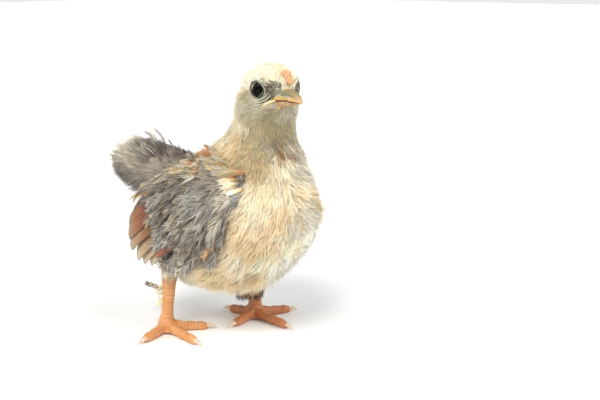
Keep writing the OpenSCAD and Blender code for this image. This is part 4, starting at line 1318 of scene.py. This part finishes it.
def wing_blades(side, name):
    """The flight feathers of one wing in one piece."""
    rng = np.random.default_rng(131 + side)
    # each of the long feathers lies under the one before it, and the last two lie over them all
    lifts = [0.35 * i if i > len(BLADES) - 3 else 2.4 - 0.35 * i for i in range(len(BLADES))]
    grids = [blade(side, row, rng, lift=lift) for row, lift in zip(BLADES, lifts)]
    verts, faces, uv, slots, base = [], [], [], [], 0
    for i, g in enumerate(grids):
        n, m = g.shape[:2]
        verts.append(g.reshape(-1, 3))
        corners = [base + a * m + b for a in range(n - 1) for b in range(m - 1)]
        cell = [(c, c + 1, c + m + 1, c + m) for c in corners]
        faces += [c if side > 0 else c[::-1] for c in cell]
        uu, vv = np.meshgrid(np.linspace(0, 1, n), np.linspace(0, 1, m), indexing="ij")
        uv.append(np.stack([uu.ravel(), vv.ravel()], -1))
        slots += [i] * len(cell)
        base += n * m
    me = free_mesh(f"flight_feathers_{name}", np.concatenate(verts), faces, vane_mats,
                   np.concatenate(uv), slots)
    add_object(f"flight_feathers_{name}", me, "chick")


wing_blades(-1, "right")
wing_blades(1, "left")

WING_SKIN = [(0.3, (60, 52, 44)), (0.5, (112, 100, 88)), (0.7, (168, 156, 140))]
TAIL_SKIN = [(0.3, (58, 52, 46)), (0.5, (98, 90, 80)), (0.7, (150, 140, 126))]


def wing_pad(side, name):
    """The patterned skin under a wing's feathers, with an opening for the key."""
    f, v = np.meshgrid(np.linspace(-31, 38, 75), np.linspace(0.04, 0.93, 31), indexing="ij")
    g, n = placed(side, f.ravel(), v.ravel(), 1.0)
    g = (g + n * (0.5 * ripple(g, 7, 9))[:, None]).reshape(*f.shape, 3)
    if side > 0:
        g = g[:, ::-1]
    c = (g[:-1, :-1] + g[1:, 1:]) / 2
    hole = (c[..., 0] > 0) & (np.hypot(c[..., 1] - KEY_AT[0], c[..., 2] - KEY_AT[1]) < 7.0)
    mat = patterned(f"wing_skin_{name}", WING_SKIN, 500, (0.7, 0.9), (0.6, 0.0004))
    me = grid_mesh(f"wing_pad_{name}", g, [mat], drop=hole)
    add_object(f"wing_pad_{name}", me, "chick")


wing_pad(-1, "right")
wing_pad(1, "left")

t, a = np.meshgrid(np.linspace(0.0, 1.999, 70), np.linspace(0, 2 * math.pi, 49)[:-1], indexing="ij")
g = tail_surface(t.ravel(), a.ravel(), -1.0).reshape(*t.shape, 3)[:, ::-1]
mat = patterned("tail_skin", TAIL_SKIN, 420, (0.75, 0.95), (0.6, 0.0004), (1, 0.25, 1))
add_object("tail_pad", grid_mesh("tail_pad", g, [mat], close_v=True), "chick")

# ---------------------------------------------------------------- tubes and lofts
def path(points, n):
    """A smooth path through points, whose columns may hold a radius too."""
    pts = np.asarray(points, float)
    pts = np.vstack([2 * pts[0] - pts[1], pts, 2 * pts[-1] - pts[-2]])
    s = np.linspace(0, len(pts) - 3 - 1e-6, n)
    i = np.floor(s).astype(int)
    t = (s - i)[:, None]
    return spline(pts[i], pts[i + 1], pts[i + 2], pts[i + 3], t)


def tube(points, sides=12, closed=False):
    """Rings round a path of x, y, z, radius."""
    pts = np.asarray(points, float)
    c, r = pts[:, :3], np.maximum(pts[:, 3], 0.02)
    if closed:
        along = unit(np.roll(c, -1, 0) - np.roll(c, 1, 0))
    else:
        along = unit(np.gradient(c, axis=0))
    ref = np.array([0, 0, 1.0]) if abs(along[0][2]) < 0.9 else np.array([1.0, 0, 0])
    rings = []
    for k in range(len(c)):
        ref = unit(ref - along[k] * (ref @ along[k]))
        other = np.cross(along[k], ref)
        a = np.linspace(0, 2 * math.pi, sides + 1)[:-1]
        rings.append(c[k] + r[k] * (np.cos(a)[:, None] * ref + np.sin(a)[:, None] * other))
    return np.array(rings)


def even_uv(n, m):
    """A UV layer that is even over a grid of n by m cells."""
    g = np.zeros((n + 1, m + 1, 2))
    g[..., 0] = np.linspace(0, 1, n + 1)[:, None]
    g[..., 1] = np.linspace(0, 1, m + 1)[None]
    return g


def tube_piece(name, points, mat, body, sides=12, closed=False, replaced=()):
    """A tube round a path as a piece."""
    rings = tube(points, sides, closed)
    uv = even_uv(*rings.shape[:2])
    me = grid_mesh(name, rings, [mat], close_u=closed, close_v=True, caps=not closed, uv=uv)
    return add_object(name, me, body, replaced)


def closed_tubes(grids):
    """Vertices and faces of several tubes with flat ends."""
    verts, faces, base = [], [], 0
    for g in grids:
        n, m = g.shape[:2]
        verts.append(g.reshape(-1, 3))
        for i in range(n - 1):
            a, b = base + i * m, base + (i + 1) * m
            faces += [(a + j, a + (j + 1) % m, b + (j + 1) % m, b + j) for j in range(m)]
        faces.append(tuple(range(base + m - 1, base - 1, -1)))
        faces.append(tuple(range(base + (n - 1) * m, base + n * m)))
        base += n * m
    return np.concatenate(verts), faces


def merged(name, grids, mat, body, replaced=()):
    """Several closed tubes in one piece."""
    me = free_mesh(name, *closed_tubes(grids), [mat])
    me.validate()
    me.update()
    return add_object(name, me, body, replaced)


def fused(grids, voxel, smooths=3):
    """One closed skin round overlapping closed tubes: vertices in bird mm, their normals, faces."""
    verts, faces = closed_tubes(grids)
    me = bpy.data.meshes.new("fusing")
    me.from_pydata((verts / 1000).tolist(), [], faces)
    obj = bpy.data.objects.new("fusing", me)
    scene.collection.objects.link(obj)
    mod = obj.modifiers.new("skin", "REMESH")
    mod.mode = "VOXEL"
    mod.voxel_size = voxel / 1000
    mod = obj.modifiers.new("smooth", "SMOOTH")
    mod.iterations = smooths
    made = bpy.data.meshes.new_from_object(obj.evaluated_get(bpy.context.evaluated_depsgraph_get()))
    co = np.zeros(len(made.vertices) * 3)
    made.vertices.foreach_get("co", co)
    nr = np.zeros(len(made.vertices) * 3)
    made.vertex_normals.foreach_get("vector", nr)
    polys = [tuple(f.vertices) for f in made.polygons]
    bpy.data.objects.remove(obj)
    bpy.data.meshes.remove(me)
    bpy.data.meshes.remove(made)
    return co.reshape(-1, 3) * 1000, nr.reshape(-1, 3), polys


# ---------------------------------------------------------------- eyes and lids
def skin_point(side, f, z, off=0.0):
    """A place on the head's side at a distance forward and a height, and the way out there."""
    e = 0.4
    base = np.array([side * side_x(f, z), -f, z])
    dx_f = (side_x(f + e, z) - side_x(f - e, z)) / (2 * e)
    dx_z = (side_x(f, z + e) - side_x(f, z - e)) / (2 * e)
    n = unit(np.array([side, dx_f, -dx_z]))
    return base + n * off, n


eye_mat, tree, shader = new_material("eye_black")
vector = coords(tree)
value = noise(tree, vector, 900, 3)
tree.links.new(ramp(tree, value, [(0.3, (4, 3, 3)), (0.7, (14, 9, 6))]), shader.inputs["Base Color"])
tree.links.new(ranged(tree, value, 0.04, 0.10), shader.inputs["Roughness"])
shader.inputs["Specular IOR Level"].default_value = 0.12

lid_mat = patterned("lid_skin", [(0.3, (84, 86, 78)), (0.5, (140, 142, 124)), (0.7, (196, 194, 170))], 1500,
                    (0.5, 0.75), (0.6, 0.0002))
FOLD_SKIN = [(0.25, (150, 150, 126)), (0.5, (206, 203, 174)), (0.75, (234, 230, 204))]
fold_mat = patterned("fold_skin", FOLD_SKIN, 1500, (0.5, 0.75), (0.5, 0.0002))
rim_mat = patterned("lid_rim", [(0.3, (14, 13, 12)), (0.6, (30, 29, 26)), (0.8, (60, 58, 50))], 1600,
                    (0.35, 0.6), (0.4, 0.0001))
# Folds of skin round an eye: reach forward, reach up, way out of the skin, radius, lean, first and
# last angle, and points.
FOLDS = [(4.0, 5.0, 0.12, 0.30, 0.0, 195, 345, 30), (5.1, 6.1, 0.08, 0.32, 0.0, 205, 335, 30),
         (6.3, 7.3, 0.05, 0.30, 0.0, 215, 325, 26), (3.8, 4.9, 0.15, 0.28, -0.4, 20, 150, 26)]


def eyeball(s):
    """Rings of an eyeball's front, from its middle out."""
    centre, n = skin_point(s, *EYE, -0.75)
    up = unit(np.array([0, 0, 1.0]) - n * n[2])
    fwd = np.cross(up, n) * s
    rows = np.linspace(0.02, math.pi / 2 + 0.35, 26)
    turns = np.linspace(0, 2 * math.pi, 49)[:-1]
    rim = [fwd * 2.5 * math.cos(t) + (up * 3.7 - fwd * 0.7) * math.sin(t) for t in turns]
    g = np.array([[centre + n * 1.9 * math.cos(r) + q * math.sin(r) for q in rim] for r in rows])
    return g if s < 0 else g[:, ::-1]


def lid_ring(s, reach, high, off, r, lean, first=0.0, last=360.0, count=40):
    """A ring or an arc of skin round an eye, as a path with a radius. An arc thins at its ends."""
    whole = last - first > 359
    pts = []
    for i, a in enumerate(np.radians(np.linspace(first, last, count, endpoint=not whole))):
        ca, sa = math.cos(a), math.sin(a)
        f = EYE[0] + reach * ca * (1 + 0.10 * abs(ca) ** 3) + lean * sa
        z = EYE[1] + high * sa - 0.35 * ca
        q, _ = skin_point(s, f, z, off)
        fade = 1.0 if whole else math.sin(math.pi * (i + 0.5) / count) ** 0.5
        pts.append([*q, r * fade])
    return pts


def build_eye(s, name):
    """An eye: cornea, black rim, lid and folds of skin."""
    me = grid_mesh(f"eyeball_{name}", eyeball(s), [eye_mat], close_v=True, caps=True)
    add_object(f"eyeball_{name}", me, "chick", (f"eye_{name}",))
    tube_piece(f"lid_rim_{name}", lid_ring(s, 2.55, 3.7, 0.36, 0.26, -0.7), rim_mat, "chick",
               8, True)
    tube_piece(f"lid_{name}", lid_ring(s, 3.0, 4.15, 0.10, 0.32, -0.7), lid_mat, "chick",
               10, True)
    folds = [tube(lid_ring(s, *row), 8) for row in FOLDS]
    merged(f"lid_folds_{name}", folds, fold_mat, "chick")


build_eye(-1, "right")
build_eye(1, "left")

# ---------------------------------------------------------------- beak
beak_mat, tree, shader = new_material("beak_horn")
uvs = add(tree, "ShaderNodeUVMap", uv_map="lay").outputs[0]
parts = parted(tree, uvs)
vector = coords(tree, (1, 0.35, 1))
value = noise(tree, vector, 1100, 6)
wobble = maths(tree, "MULTIPLY_ADD", value, 0.22, parts[1])
horn = ramp(tree, wobble, [(0.08, (150, 102, 58)), (0.18, (206, 160, 82)), (0.42, (206, 170, 96)),
                           (0.60, (136, 124, 84)), (0.85, (104, 102, 74)), (1.0, (140, 130, 92))])
tip = ramp(tree, parts[0], [(0.0, (0, 0, 0)), (0.5, (0, 0, 0)), (0.78, (205, 205, 205)),
                            (1.0, (225, 225, 225))])
tree.links.new(mixed(tree, tip, horn, (222, 172, 124)), shader.inputs["Base Color"])
tree.links.new(ranged(tree, value, 0.28, 0.5), shader.inputs["Roughness"])
bumped(tree, shader, value, 0.35, 0.0002)
shader.inputs["Coat Weight"].default_value = 0.2

lower_mat, tree, shader = new_material("beak_lower_horn")
vector = coords(tree, (1, 0.35, 1))
value = noise(tree, vector, 1100, 6)
tree.links.new(ramp(tree, value, [(0.3, (150, 112, 76)), (0.5, (190, 152, 112)), (0.7, (218, 186, 148))]),
               shader.inputs["Base Color"])
tree.links.new(ranged(tree, value, 0.3, 0.55), shader.inputs["Roughness"])
bumped(tree, shader, value, 0.35, 0.0002)

# The beak halves from their root to their tip: forward, half-width, and two heights, which are
# lower and upper edge of the upper half, and upper and lower edge of the lower half.
UPPER = [[47.5, 11.2, 128.9, 136.6], [49.5, 10.8, 129.7, 136.6], [51.3, 9.8, 130.4, 136.5],
         [53.5, 8.2, 130.8, 136.2], [55.6, 6.6, 130.9, 135.4], [57.7, 5.0, 130.8, 134.4],
         [59.6, 3.4, 130.5, 133.3], [61.1, 2.0, 130.0, 132.2], [62.0, 1.0, 129.5, 131.1],
         [62.4, 0.25, 129.3, 130.1]]
LOWER = [[46.5, 10.4, 128.8, 126.4], [49, 9.9, 129.6, 126.8], [51, 8.8, 130.2, 127.1],
         [53.4, 7.3, 130.5, 127.5], [56, 5.3, 130.5, 127.9], [58.4, 3.4, 130.2, 128.4],
         [60.1, 1.8, 129.8, 128.8], [60.9, 0.3, 129.5, 129.2]]
# The folds of the gape on the left side: x, y, z and radius.
GAPE_UP = [[8.6, -52.2, 131.0, 0.45], [10.6, -50.9, 130.5, 0.6], [12.2, -49.3, 129.4, 0.62],
           [13.4, -47.8, 128.2, 0.5], [14.0, -46.8, 127.4, 0.2]]
GAPE_LOW = [[9.6, -51.2, 129.3, 0.3], [11.4, -49.6, 128.2, 0.5], [13.0, -47.9, 127.2, 0.4],
            [13.6, -46.9, 126.7, 0.15]]


def upper_beak():
    """Rings of the upper half, with its nostrils, and a UV layer that runs over its arch."""
    arch = np.linspace(0, math.pi, 29)
    under = np.linspace(math.pi, 2 * math.pi, 13)[1:-1]
    g = []
    for f, w, low, top in path(UPPER, 40):
        ring = [[w * math.copysign(abs(math.cos(t)) ** 0.9, math.cos(t)),
                 -f + 1.2 * abs(math.cos(t)) ** 2 * (f < 58),
                 low + (top - low) * math.sin(t) ** 0.95] for t in arch]
        ring += [[w * math.cos(t) * 0.98, -f, low + 0.25 * (top - low) * abs(math.sin(t)) ** 0.6]
                 for t in under]
        g.append(ring)
    g = np.array(g)
    # a nostril is a slit under a small raised flap
    for s in (1, -1):
        d = np.linalg.norm((g - np.array([s * 4.9, -54.6, 135.1])) / np.array([1.6, 1.5, 0.8]), axis=-1)
        g[..., 0] += s * 0.5 * np.exp(-d ** 2)
        d = np.linalg.norm((g - np.array([s * 5.4, -54.9, 134.0])) / np.array([1.4, 1.3, 0.35]), axis=-1)
        g[..., 0] -= s * 0.9 * np.exp(-d ** 2)
    uv = even_uv(*g.shape[:2])
    uv[..., 1] = np.concatenate([np.sin(arch) ** 0.9, -0.12 * np.ones(len(under) + 1)])[None]
    return g, uv


def lower_beak():
    """Rings of the lower half, whose top is flat."""
    turns = np.linspace(0, 2 * math.pi, 37)[:-1]
    return np.array([[[w * math.cos(t) * 0.97, -f,
                       top - (top - low) * (abs(math.sin(t)) ** 0.9 if t > math.pi else 0.0)]
                      for t in turns] for f, w, top, low in path(LOWER, 32)])


g, uv = upper_beak()
me = grid_mesh("upper_beak_horn", g, [beak_mat], close_v=True, caps=True, uv=uv)
add_object("upper_beak_horn", me, "chick", ("upper_beak",))
me = grid_mesh("lower_beak_horn", lower_beak(), [lower_mat], close_v=True, caps=True)
add_object("lower_beak_horn", me, "chick", ("lower_beak",))
gape = []
for s in (1, -1):
    mirror = np.array([s, 1, 1, 1])
    gape.append(tube(path(np.array(GAPE_UP) * mirror, 24), 10))
    gape.append(tube(path(np.array(GAPE_LOW) * mirror, 20), 8))
gape_mat = patterned("gape_skin", [(0.3, (196, 160, 100)), (0.5, (232, 212, 158)), (0.7, (242, 230, 192))],
                     1300, (0.4, 0.6), (0.4, 0.0002))
merged("gape_flanges", gape, gape_mat, "chick")

# ---------------------------------------------------------------- comb bud
rng = np.random.default_rng(91)
ridge = path([[-0.4, -51.4, 144.2], [0.1, -53.3, 142.2], [0.8, -54.4, 138.9]], 101)
bumps = []
for _ in range(44):
    t = rng.uniform(0, 1) ** 1.2
    c = ridge[int(t * 100)]
    c = c + rng.uniform(-1, 1, 3) * np.array([2.7 - 1.5 * t, 0.5, 0.7])
    r = rng.uniform(0.8, 1.35) * (1.1 - 0.3 * t)
    p, q = np.meshgrid(np.linspace(0.05, math.pi - 0.05, 9), np.linspace(0, 2 * math.pi, 15)[:-1],
                       indexing="ij")
    bumps.append(c + r * np.stack([np.sin(p) * np.cos(q), np.sin(p) * np.sin(q), -np.cos(p)], -1))
spine = path([[-0.6, -50.4, 143.6, 1.2], [-0.3, -51.8, 142.6, 2.2], [0.2, -53.0, 140.8, 1.8],
              [0.7, -53.9, 138.2, 0.9]], 16)
co, nr, polys = fused(bumps + [tube(spine, 12)], 0.22, 2)
comb_mat = patterned("comb_skin", [(0.25, (178, 116, 76)), (0.42, (208, 148, 104)), (0.58, (222, 172, 122)),
                                   (0.8, (238, 208, 164))], 900, (0.4, 0.65), (0.7, 0.0003), detail=8)
add_object("comb_bud", free_mesh("comb_bud", co, polys, [comb_mat]), "chick", ("comb",))

# ---------------------------------------------------------------- legs
# The toes of each foot: angle out from straight ahead, and length.
TOES = {-1: [(76.3, 22.22), (9.2, 30.1), (-49, 24), (-143, 12)],
        1: [(63.5, 23.1), (-6, 29.2), (-81, 21), (-174, 18.8)]}
# The feet stand behind the hocks, and the shanks lean from here up.
FOOT_BACK, ANKLE_Z, LEAN_HIGH = 4.4, 5, 30.5
FOOT = {s: np.array([*LEG_AT[s], 0]) + [0, FOOT_BACK, 0] for s in (-1, 1)}
# A shank: x, y, z and radius.
SHANK = [[0, 0, 3.2, 4.6], [0, 0, 6.0, 4.3], [0, 0, 9.5, 3.35], [0, 0.1, 14, 3.0],
         [0, 0.2, 20, 3.15], [0, 0.3, 27, 3.45], [0, 0.5, 32, 4.1], [0, 0.6, 36.0, 4.3]]
# A toe: share of its length, height and radius.
TOE = [[0.0, 4.4, 2.6], [0.14, 4.0, 2.75], [0.28, 3.2, 2.55], [0.42, 2.75, 2.25], [0.53, 2.65, 2.45],
       [0.66, 2.5, 2.1], [0.77, 2.45, 2.25], [0.88, 2.1, 1.8], [0.95, 1.8, 1.0]]


def leg_material(name, plate, dark, toe, hock):
    """Scaled skin: the UV layer holds the count of scales and how far they show."""
    mat, tree, shader = new_material(name)
    uvs = add(tree, "ShaderNodeUVMap", uv_map="lay").outputs[0]
    parts = parted(tree, uvs)
    vector = coords(tree)
    value = noise(tree, vector, 260, 6)
    fine = noise(tree, vector, 1500, 5)
    base = mixed(tree, ranged(tree, value, 0, 1, 0.35, 0.65), plate, toe)
    base = mixed(tree, ranged(tree, fine, 0, 0.45, 0.45, 0.75), base, dark)
    fraction = maths(tree, "FRACT", parts[0])
    groove = ramp(tree, fraction, [(0.0, (200, 200, 200)), (0.14, (60, 60, 60)), (0.3, (0, 0, 0)),
                                   (0.86, (0, 0, 0)), (1.0, (160, 160, 160))])
    base = mixed(tree, maths(tree, "MULTIPLY", groove, parts[1]), base, dark)
    high = parted(tree, vector)[2]
    base = mixed(tree, ranged(tree, high, 0, 0.8, 0.024, 0.034), base, hock)
    tree.links.new(base, shader.inputs["Base Color"])
    tree.links.new(ranged(tree, fine, 0.38, 0.62), shader.inputs["Roughness"])
    bumped(tree, shader, fine, 0.5, 0.00025)
    return mat


# the left leg's tones are darker and redder than the right's: partly its own redder skin, partly painted
# shade
leg_mats = {-1: leg_material("leg_scales_right", (214, 148, 82), (138, 78, 40), (226, 166, 116),
                             (158, 130, 104)),
            1: leg_material("leg_scales_left", (196, 120, 70), (112, 56, 30), (206, 138, 92),
                            (140, 100, 70))}
claw_mat = patterned("claw_horn", [(0.3, (196, 160, 132)), (0.5, (226, 200, 176)), (0.7, (240, 224, 206))],
                     900, (0.25, 0.45), (0.3, 0.0001), coat=0.2)


def turned(s, t):
    """The way that toe t points."""
    a = math.radians(t[0])
    return np.array([s * math.sin(a), -math.cos(a), 0])


def toe_web(s, i):
    """The skin that is stretched between front toes i and i + 1."""
    at = FOOT[s]
    a, b = TOES[s][i], TOES[s][i + 1]
    da, db = turned(s, a), turned(s, b)
    rim = []
    for w in np.linspace(0, 1, 11):
        d = unit(da * (1 - w) + db * w)
        rim.append(at + d * (0.40 * (a[1] * (1 - w) + b[1] * w)) * (1 - 0.42 * math.sin(math.pi * w)))
    rim = np.array(rim)
    rows = []
    for u in np.linspace(0.05, 1, 10):
        line = at + (rim - at) * u
        h = 1.3 * (1 - 0.45 * u)
        rows.append(np.concatenate([line + [0, 0, 2.4 + h * 0.9 - 0.7 * u],
                                    line[::-1] + [0, 0, 2.4 - h - 0.5 * u]]))
    return np.array(rows)


def leg_grids(s):
    """The tubes and webs that make up a shank with its foot."""
    at = FOOT[s]
    shank = [[at[0] + x, at[1] + y - FOOT_BACK * max(z - ANKLE_Z, 0) / LEAN_HIGH, z, r]
             for x, y, z, r in SHANK]
    g = tube(path(shank, 44), 24)
    c = g.mean(1, keepdims=True)
    grids = [c + (g - c) * np.array([0.94, 1.12, 1])]
    for t in TOES[s]:
        d, length = turned(s, t), t[1]
        pts = [[*(at + d * length * u)[:2], z, r] for u, z, r in TOE]
        grids.append(tube(path(pts, 40), 18))
    return grids + [toe_web(s, 0), toe_web(s, 1)]


def leg_claws(s):
    """The claws of a foot."""
    claws = []
    for t in TOES[s]:
        d, root = turned(s, t), t[1] * 0.90
        marks = [(0, 2.3, 1.25), (2.2, 2.45, 1.15), (4.3, 1.85, 0.75), (6.2, 0.75, 0.12)]
        pts = [[*(FOOT[s] + d * (root + out) + [0, 0, z]), r] for out, z, r in marks]
        claws.append(tube(path(pts, 16), 12))
    return claws


def leg_skin(s, name):
    """A shank and foot with raised scales, scutes and pads, and its claws."""
    at = FOOT[s]
    co, nr, polys = fused(leg_grids(s), 0.36, 4)
    rel = co - at
    uv = np.zeros((len(co), 2))
    raise_by = np.zeros(len(co))
    flat = np.hypot(rel[:, 0], rel[:, 1])
    best = np.full(len(co), 9.0)
    on_toe = (rel[:, 2] < 7.5) & (flat > 4.2)
    for t in TOES[s]:
        d = turned(s, t)
        l = rel @ d
        off = np.linalg.norm(rel[:, :2] - d[:2] * l[:, None], axis=1)
        mine = on_toe & (l > 0) & (off < best)
        best = np.where(mine, off, best)
        top = smooth(nr[:, 2], -0.1, 0.5) * smooth(off, 3.4, 2.4)
        phase = l / 1.9
        uv[mine, 0] = phase[mine]
        uv[mine, 1] = top[mine]
        saw = 1 - (phase % 1.0)
        raise_by[mine] = (0.26 * saw * top)[mine]
        pad = 0.30 * np.abs(np.sin(l * math.pi / 6.0)) * smooth(-nr[:, 2], 0.2, 0.8)
        raise_by[mine] += pad[mine]
    shank = ~on_toe
    half = (rel[:, 0] * 1.0 > 0.2 * np.sin(rel[:, 2]))
    phase = rel[:, 2] / 2.2 + 0.5 * half
    front = smooth(-nr[:, 1], 0.0, 0.45) * smooth(rel[:, 2], 4, 8)
    back = smooth(nr[:, 1], -0.1, 0.4)
    uv[shank, 0] = phase[shank]
    uv[shank, 1] = front[shank] * 0.9
    saw = 1 - (phase % 1.0)
    raise_by[shank] = (0.30 * saw * front)[shank]
    cells = np.sin(rel[:, 2] * 3.6 + 2 * np.sin(rel[:, 0] * 2)) * np.sin(rel[:, 0] * 3.2 + rel[:, 1] * 2.6)
    raise_by += 0.10 * cells * np.where(on_toe, 0.5, np.maximum(back, 0.35))
    raise_by += 0.05 * ripple(co, 1.4, 7)
    co = co + nr * raise_by[:, None]
    co[:, 2] = np.maximum(co[:, 2], 0.03)
    me = free_mesh(f"leg_skin_{name}", co, polys, [leg_mats[s]], uv=uv)
    add_object(f"leg_skin_{name}", me, "legs", (f"shank_{name}", f"foot_{name}"))
    merged(f"claw_horns_{name}", leg_claws(s), claw_mat, "legs", (f"claws_{name}",))


leg_skin(-1, "right")
leg_skin(1, "left")
x, y = LEG_AT[1]
thigh = [[x + SIDEWAYS[0] * a, y + (HOCK_Z - z) * LEAN + SIDEWAYS[1] * a, z, r - 0.7] for a, z, r in THIGH]
tube_piece("thigh_pad_left", path(thigh, 24), skin_mats[1], "legs", 24)

# ---------------------------------------------------------------- looks of the CAD nodes
SHELL_TONES = [(0.3, (214, 198, 158)), (0.7, (232, 218, 182))]
WHITE_TONES = [(0.3, (222, 220, 212)), (0.7, (240, 238, 232))]
TURNED_TONES = [(0.3, (150, 150, 152)), (0.7, (196, 196, 198))]
PLATE_TONES = [(0.25, (128, 130, 134)), (0.5, (164, 166, 170)), (0.75, (190, 190, 192))]
SPRING_TONES = [(0.3, (52, 60, 84)), (0.6, (82, 92, 116)), (0.8, (124, 118, 112))]
WHEEL_TONES = [(0.3, (176, 136, 62)), (0.6, (208, 170, 92)), (0.8, (224, 190, 118))]
KEY_TONES = [(0.25, (128, 92, 42)), (0.5, (186, 146, 74)), (0.75, (218, 184, 112))]
CAD_LOOKS = {
    "shell_plastic": patterned("moulded_shell", SHELL_TONES, 260, (0.38, 0.55), (0.2, 0.00005)),
    "white_plastic": patterned("moulded_white", WHITE_TONES, 300, (0.3, 0.45), (0.15, 0.00004)),
    "turned_steel": patterned("turned_steel", TURNED_TONES, 500, (0.18, 0.32), (0.3, 0.00003),
                              (6, 1, 1), metal=1.0),
    "plate_steel": patterned("rolled_plate", PLATE_TONES, 420, (0.3, 0.5), (0.3, 0.00004),
                             (1, 0.12, 1), metal=1.0),
    "spring_steel": patterned("blued_spring", SPRING_TONES, 380, (0.2, 0.4), (0.2, 0.00003),
                              (1, 1, 0.2), metal=1.0),
    "wheel_brass": patterned("cut_brass", WHEEL_TONES, 450, (0.2, 0.4), (0.25, 0.00003),
                             (5, 1, 1), metal=1.0),
    "key_brass": patterned("worn_key_brass", KEY_TONES, 240, (0.22, 0.45), (0.4, 0.00006),
                           detail=8, metal=1.0)}
for row in frame["record"]["subparts"]:
    if row["material_slot"] in CAD_LOOKS:
        me = frame["nodes"][row["node"]].data
        me.materials.clear()
        me.materials.append(CAD_LOOKS[row["material_slot"]])

# ---------------------------------------------------------------- floor
mat, tree, shader = new_material("studio_floor")
tree.links.new(ramp(tree, noise(tree, coords(tree), 3, 2), [(0.2, (250, 250, 250)), (0.8, (255, 255, 255))]),
               shader.inputs["Base Color"])
shader.inputs["Roughness"].default_value = 0.9
me = bpy.data.meshes.new("floor")
me.from_pydata([(-6, -6, 0), (6, -6, 0), (6, 6, 0), (-6, 6, 0)], [], [(0, 1, 2, 3)])
me.materials.append(mat)
floor = bpy.data.objects.new("floor", me)
scene.collection.objects.link(floor)
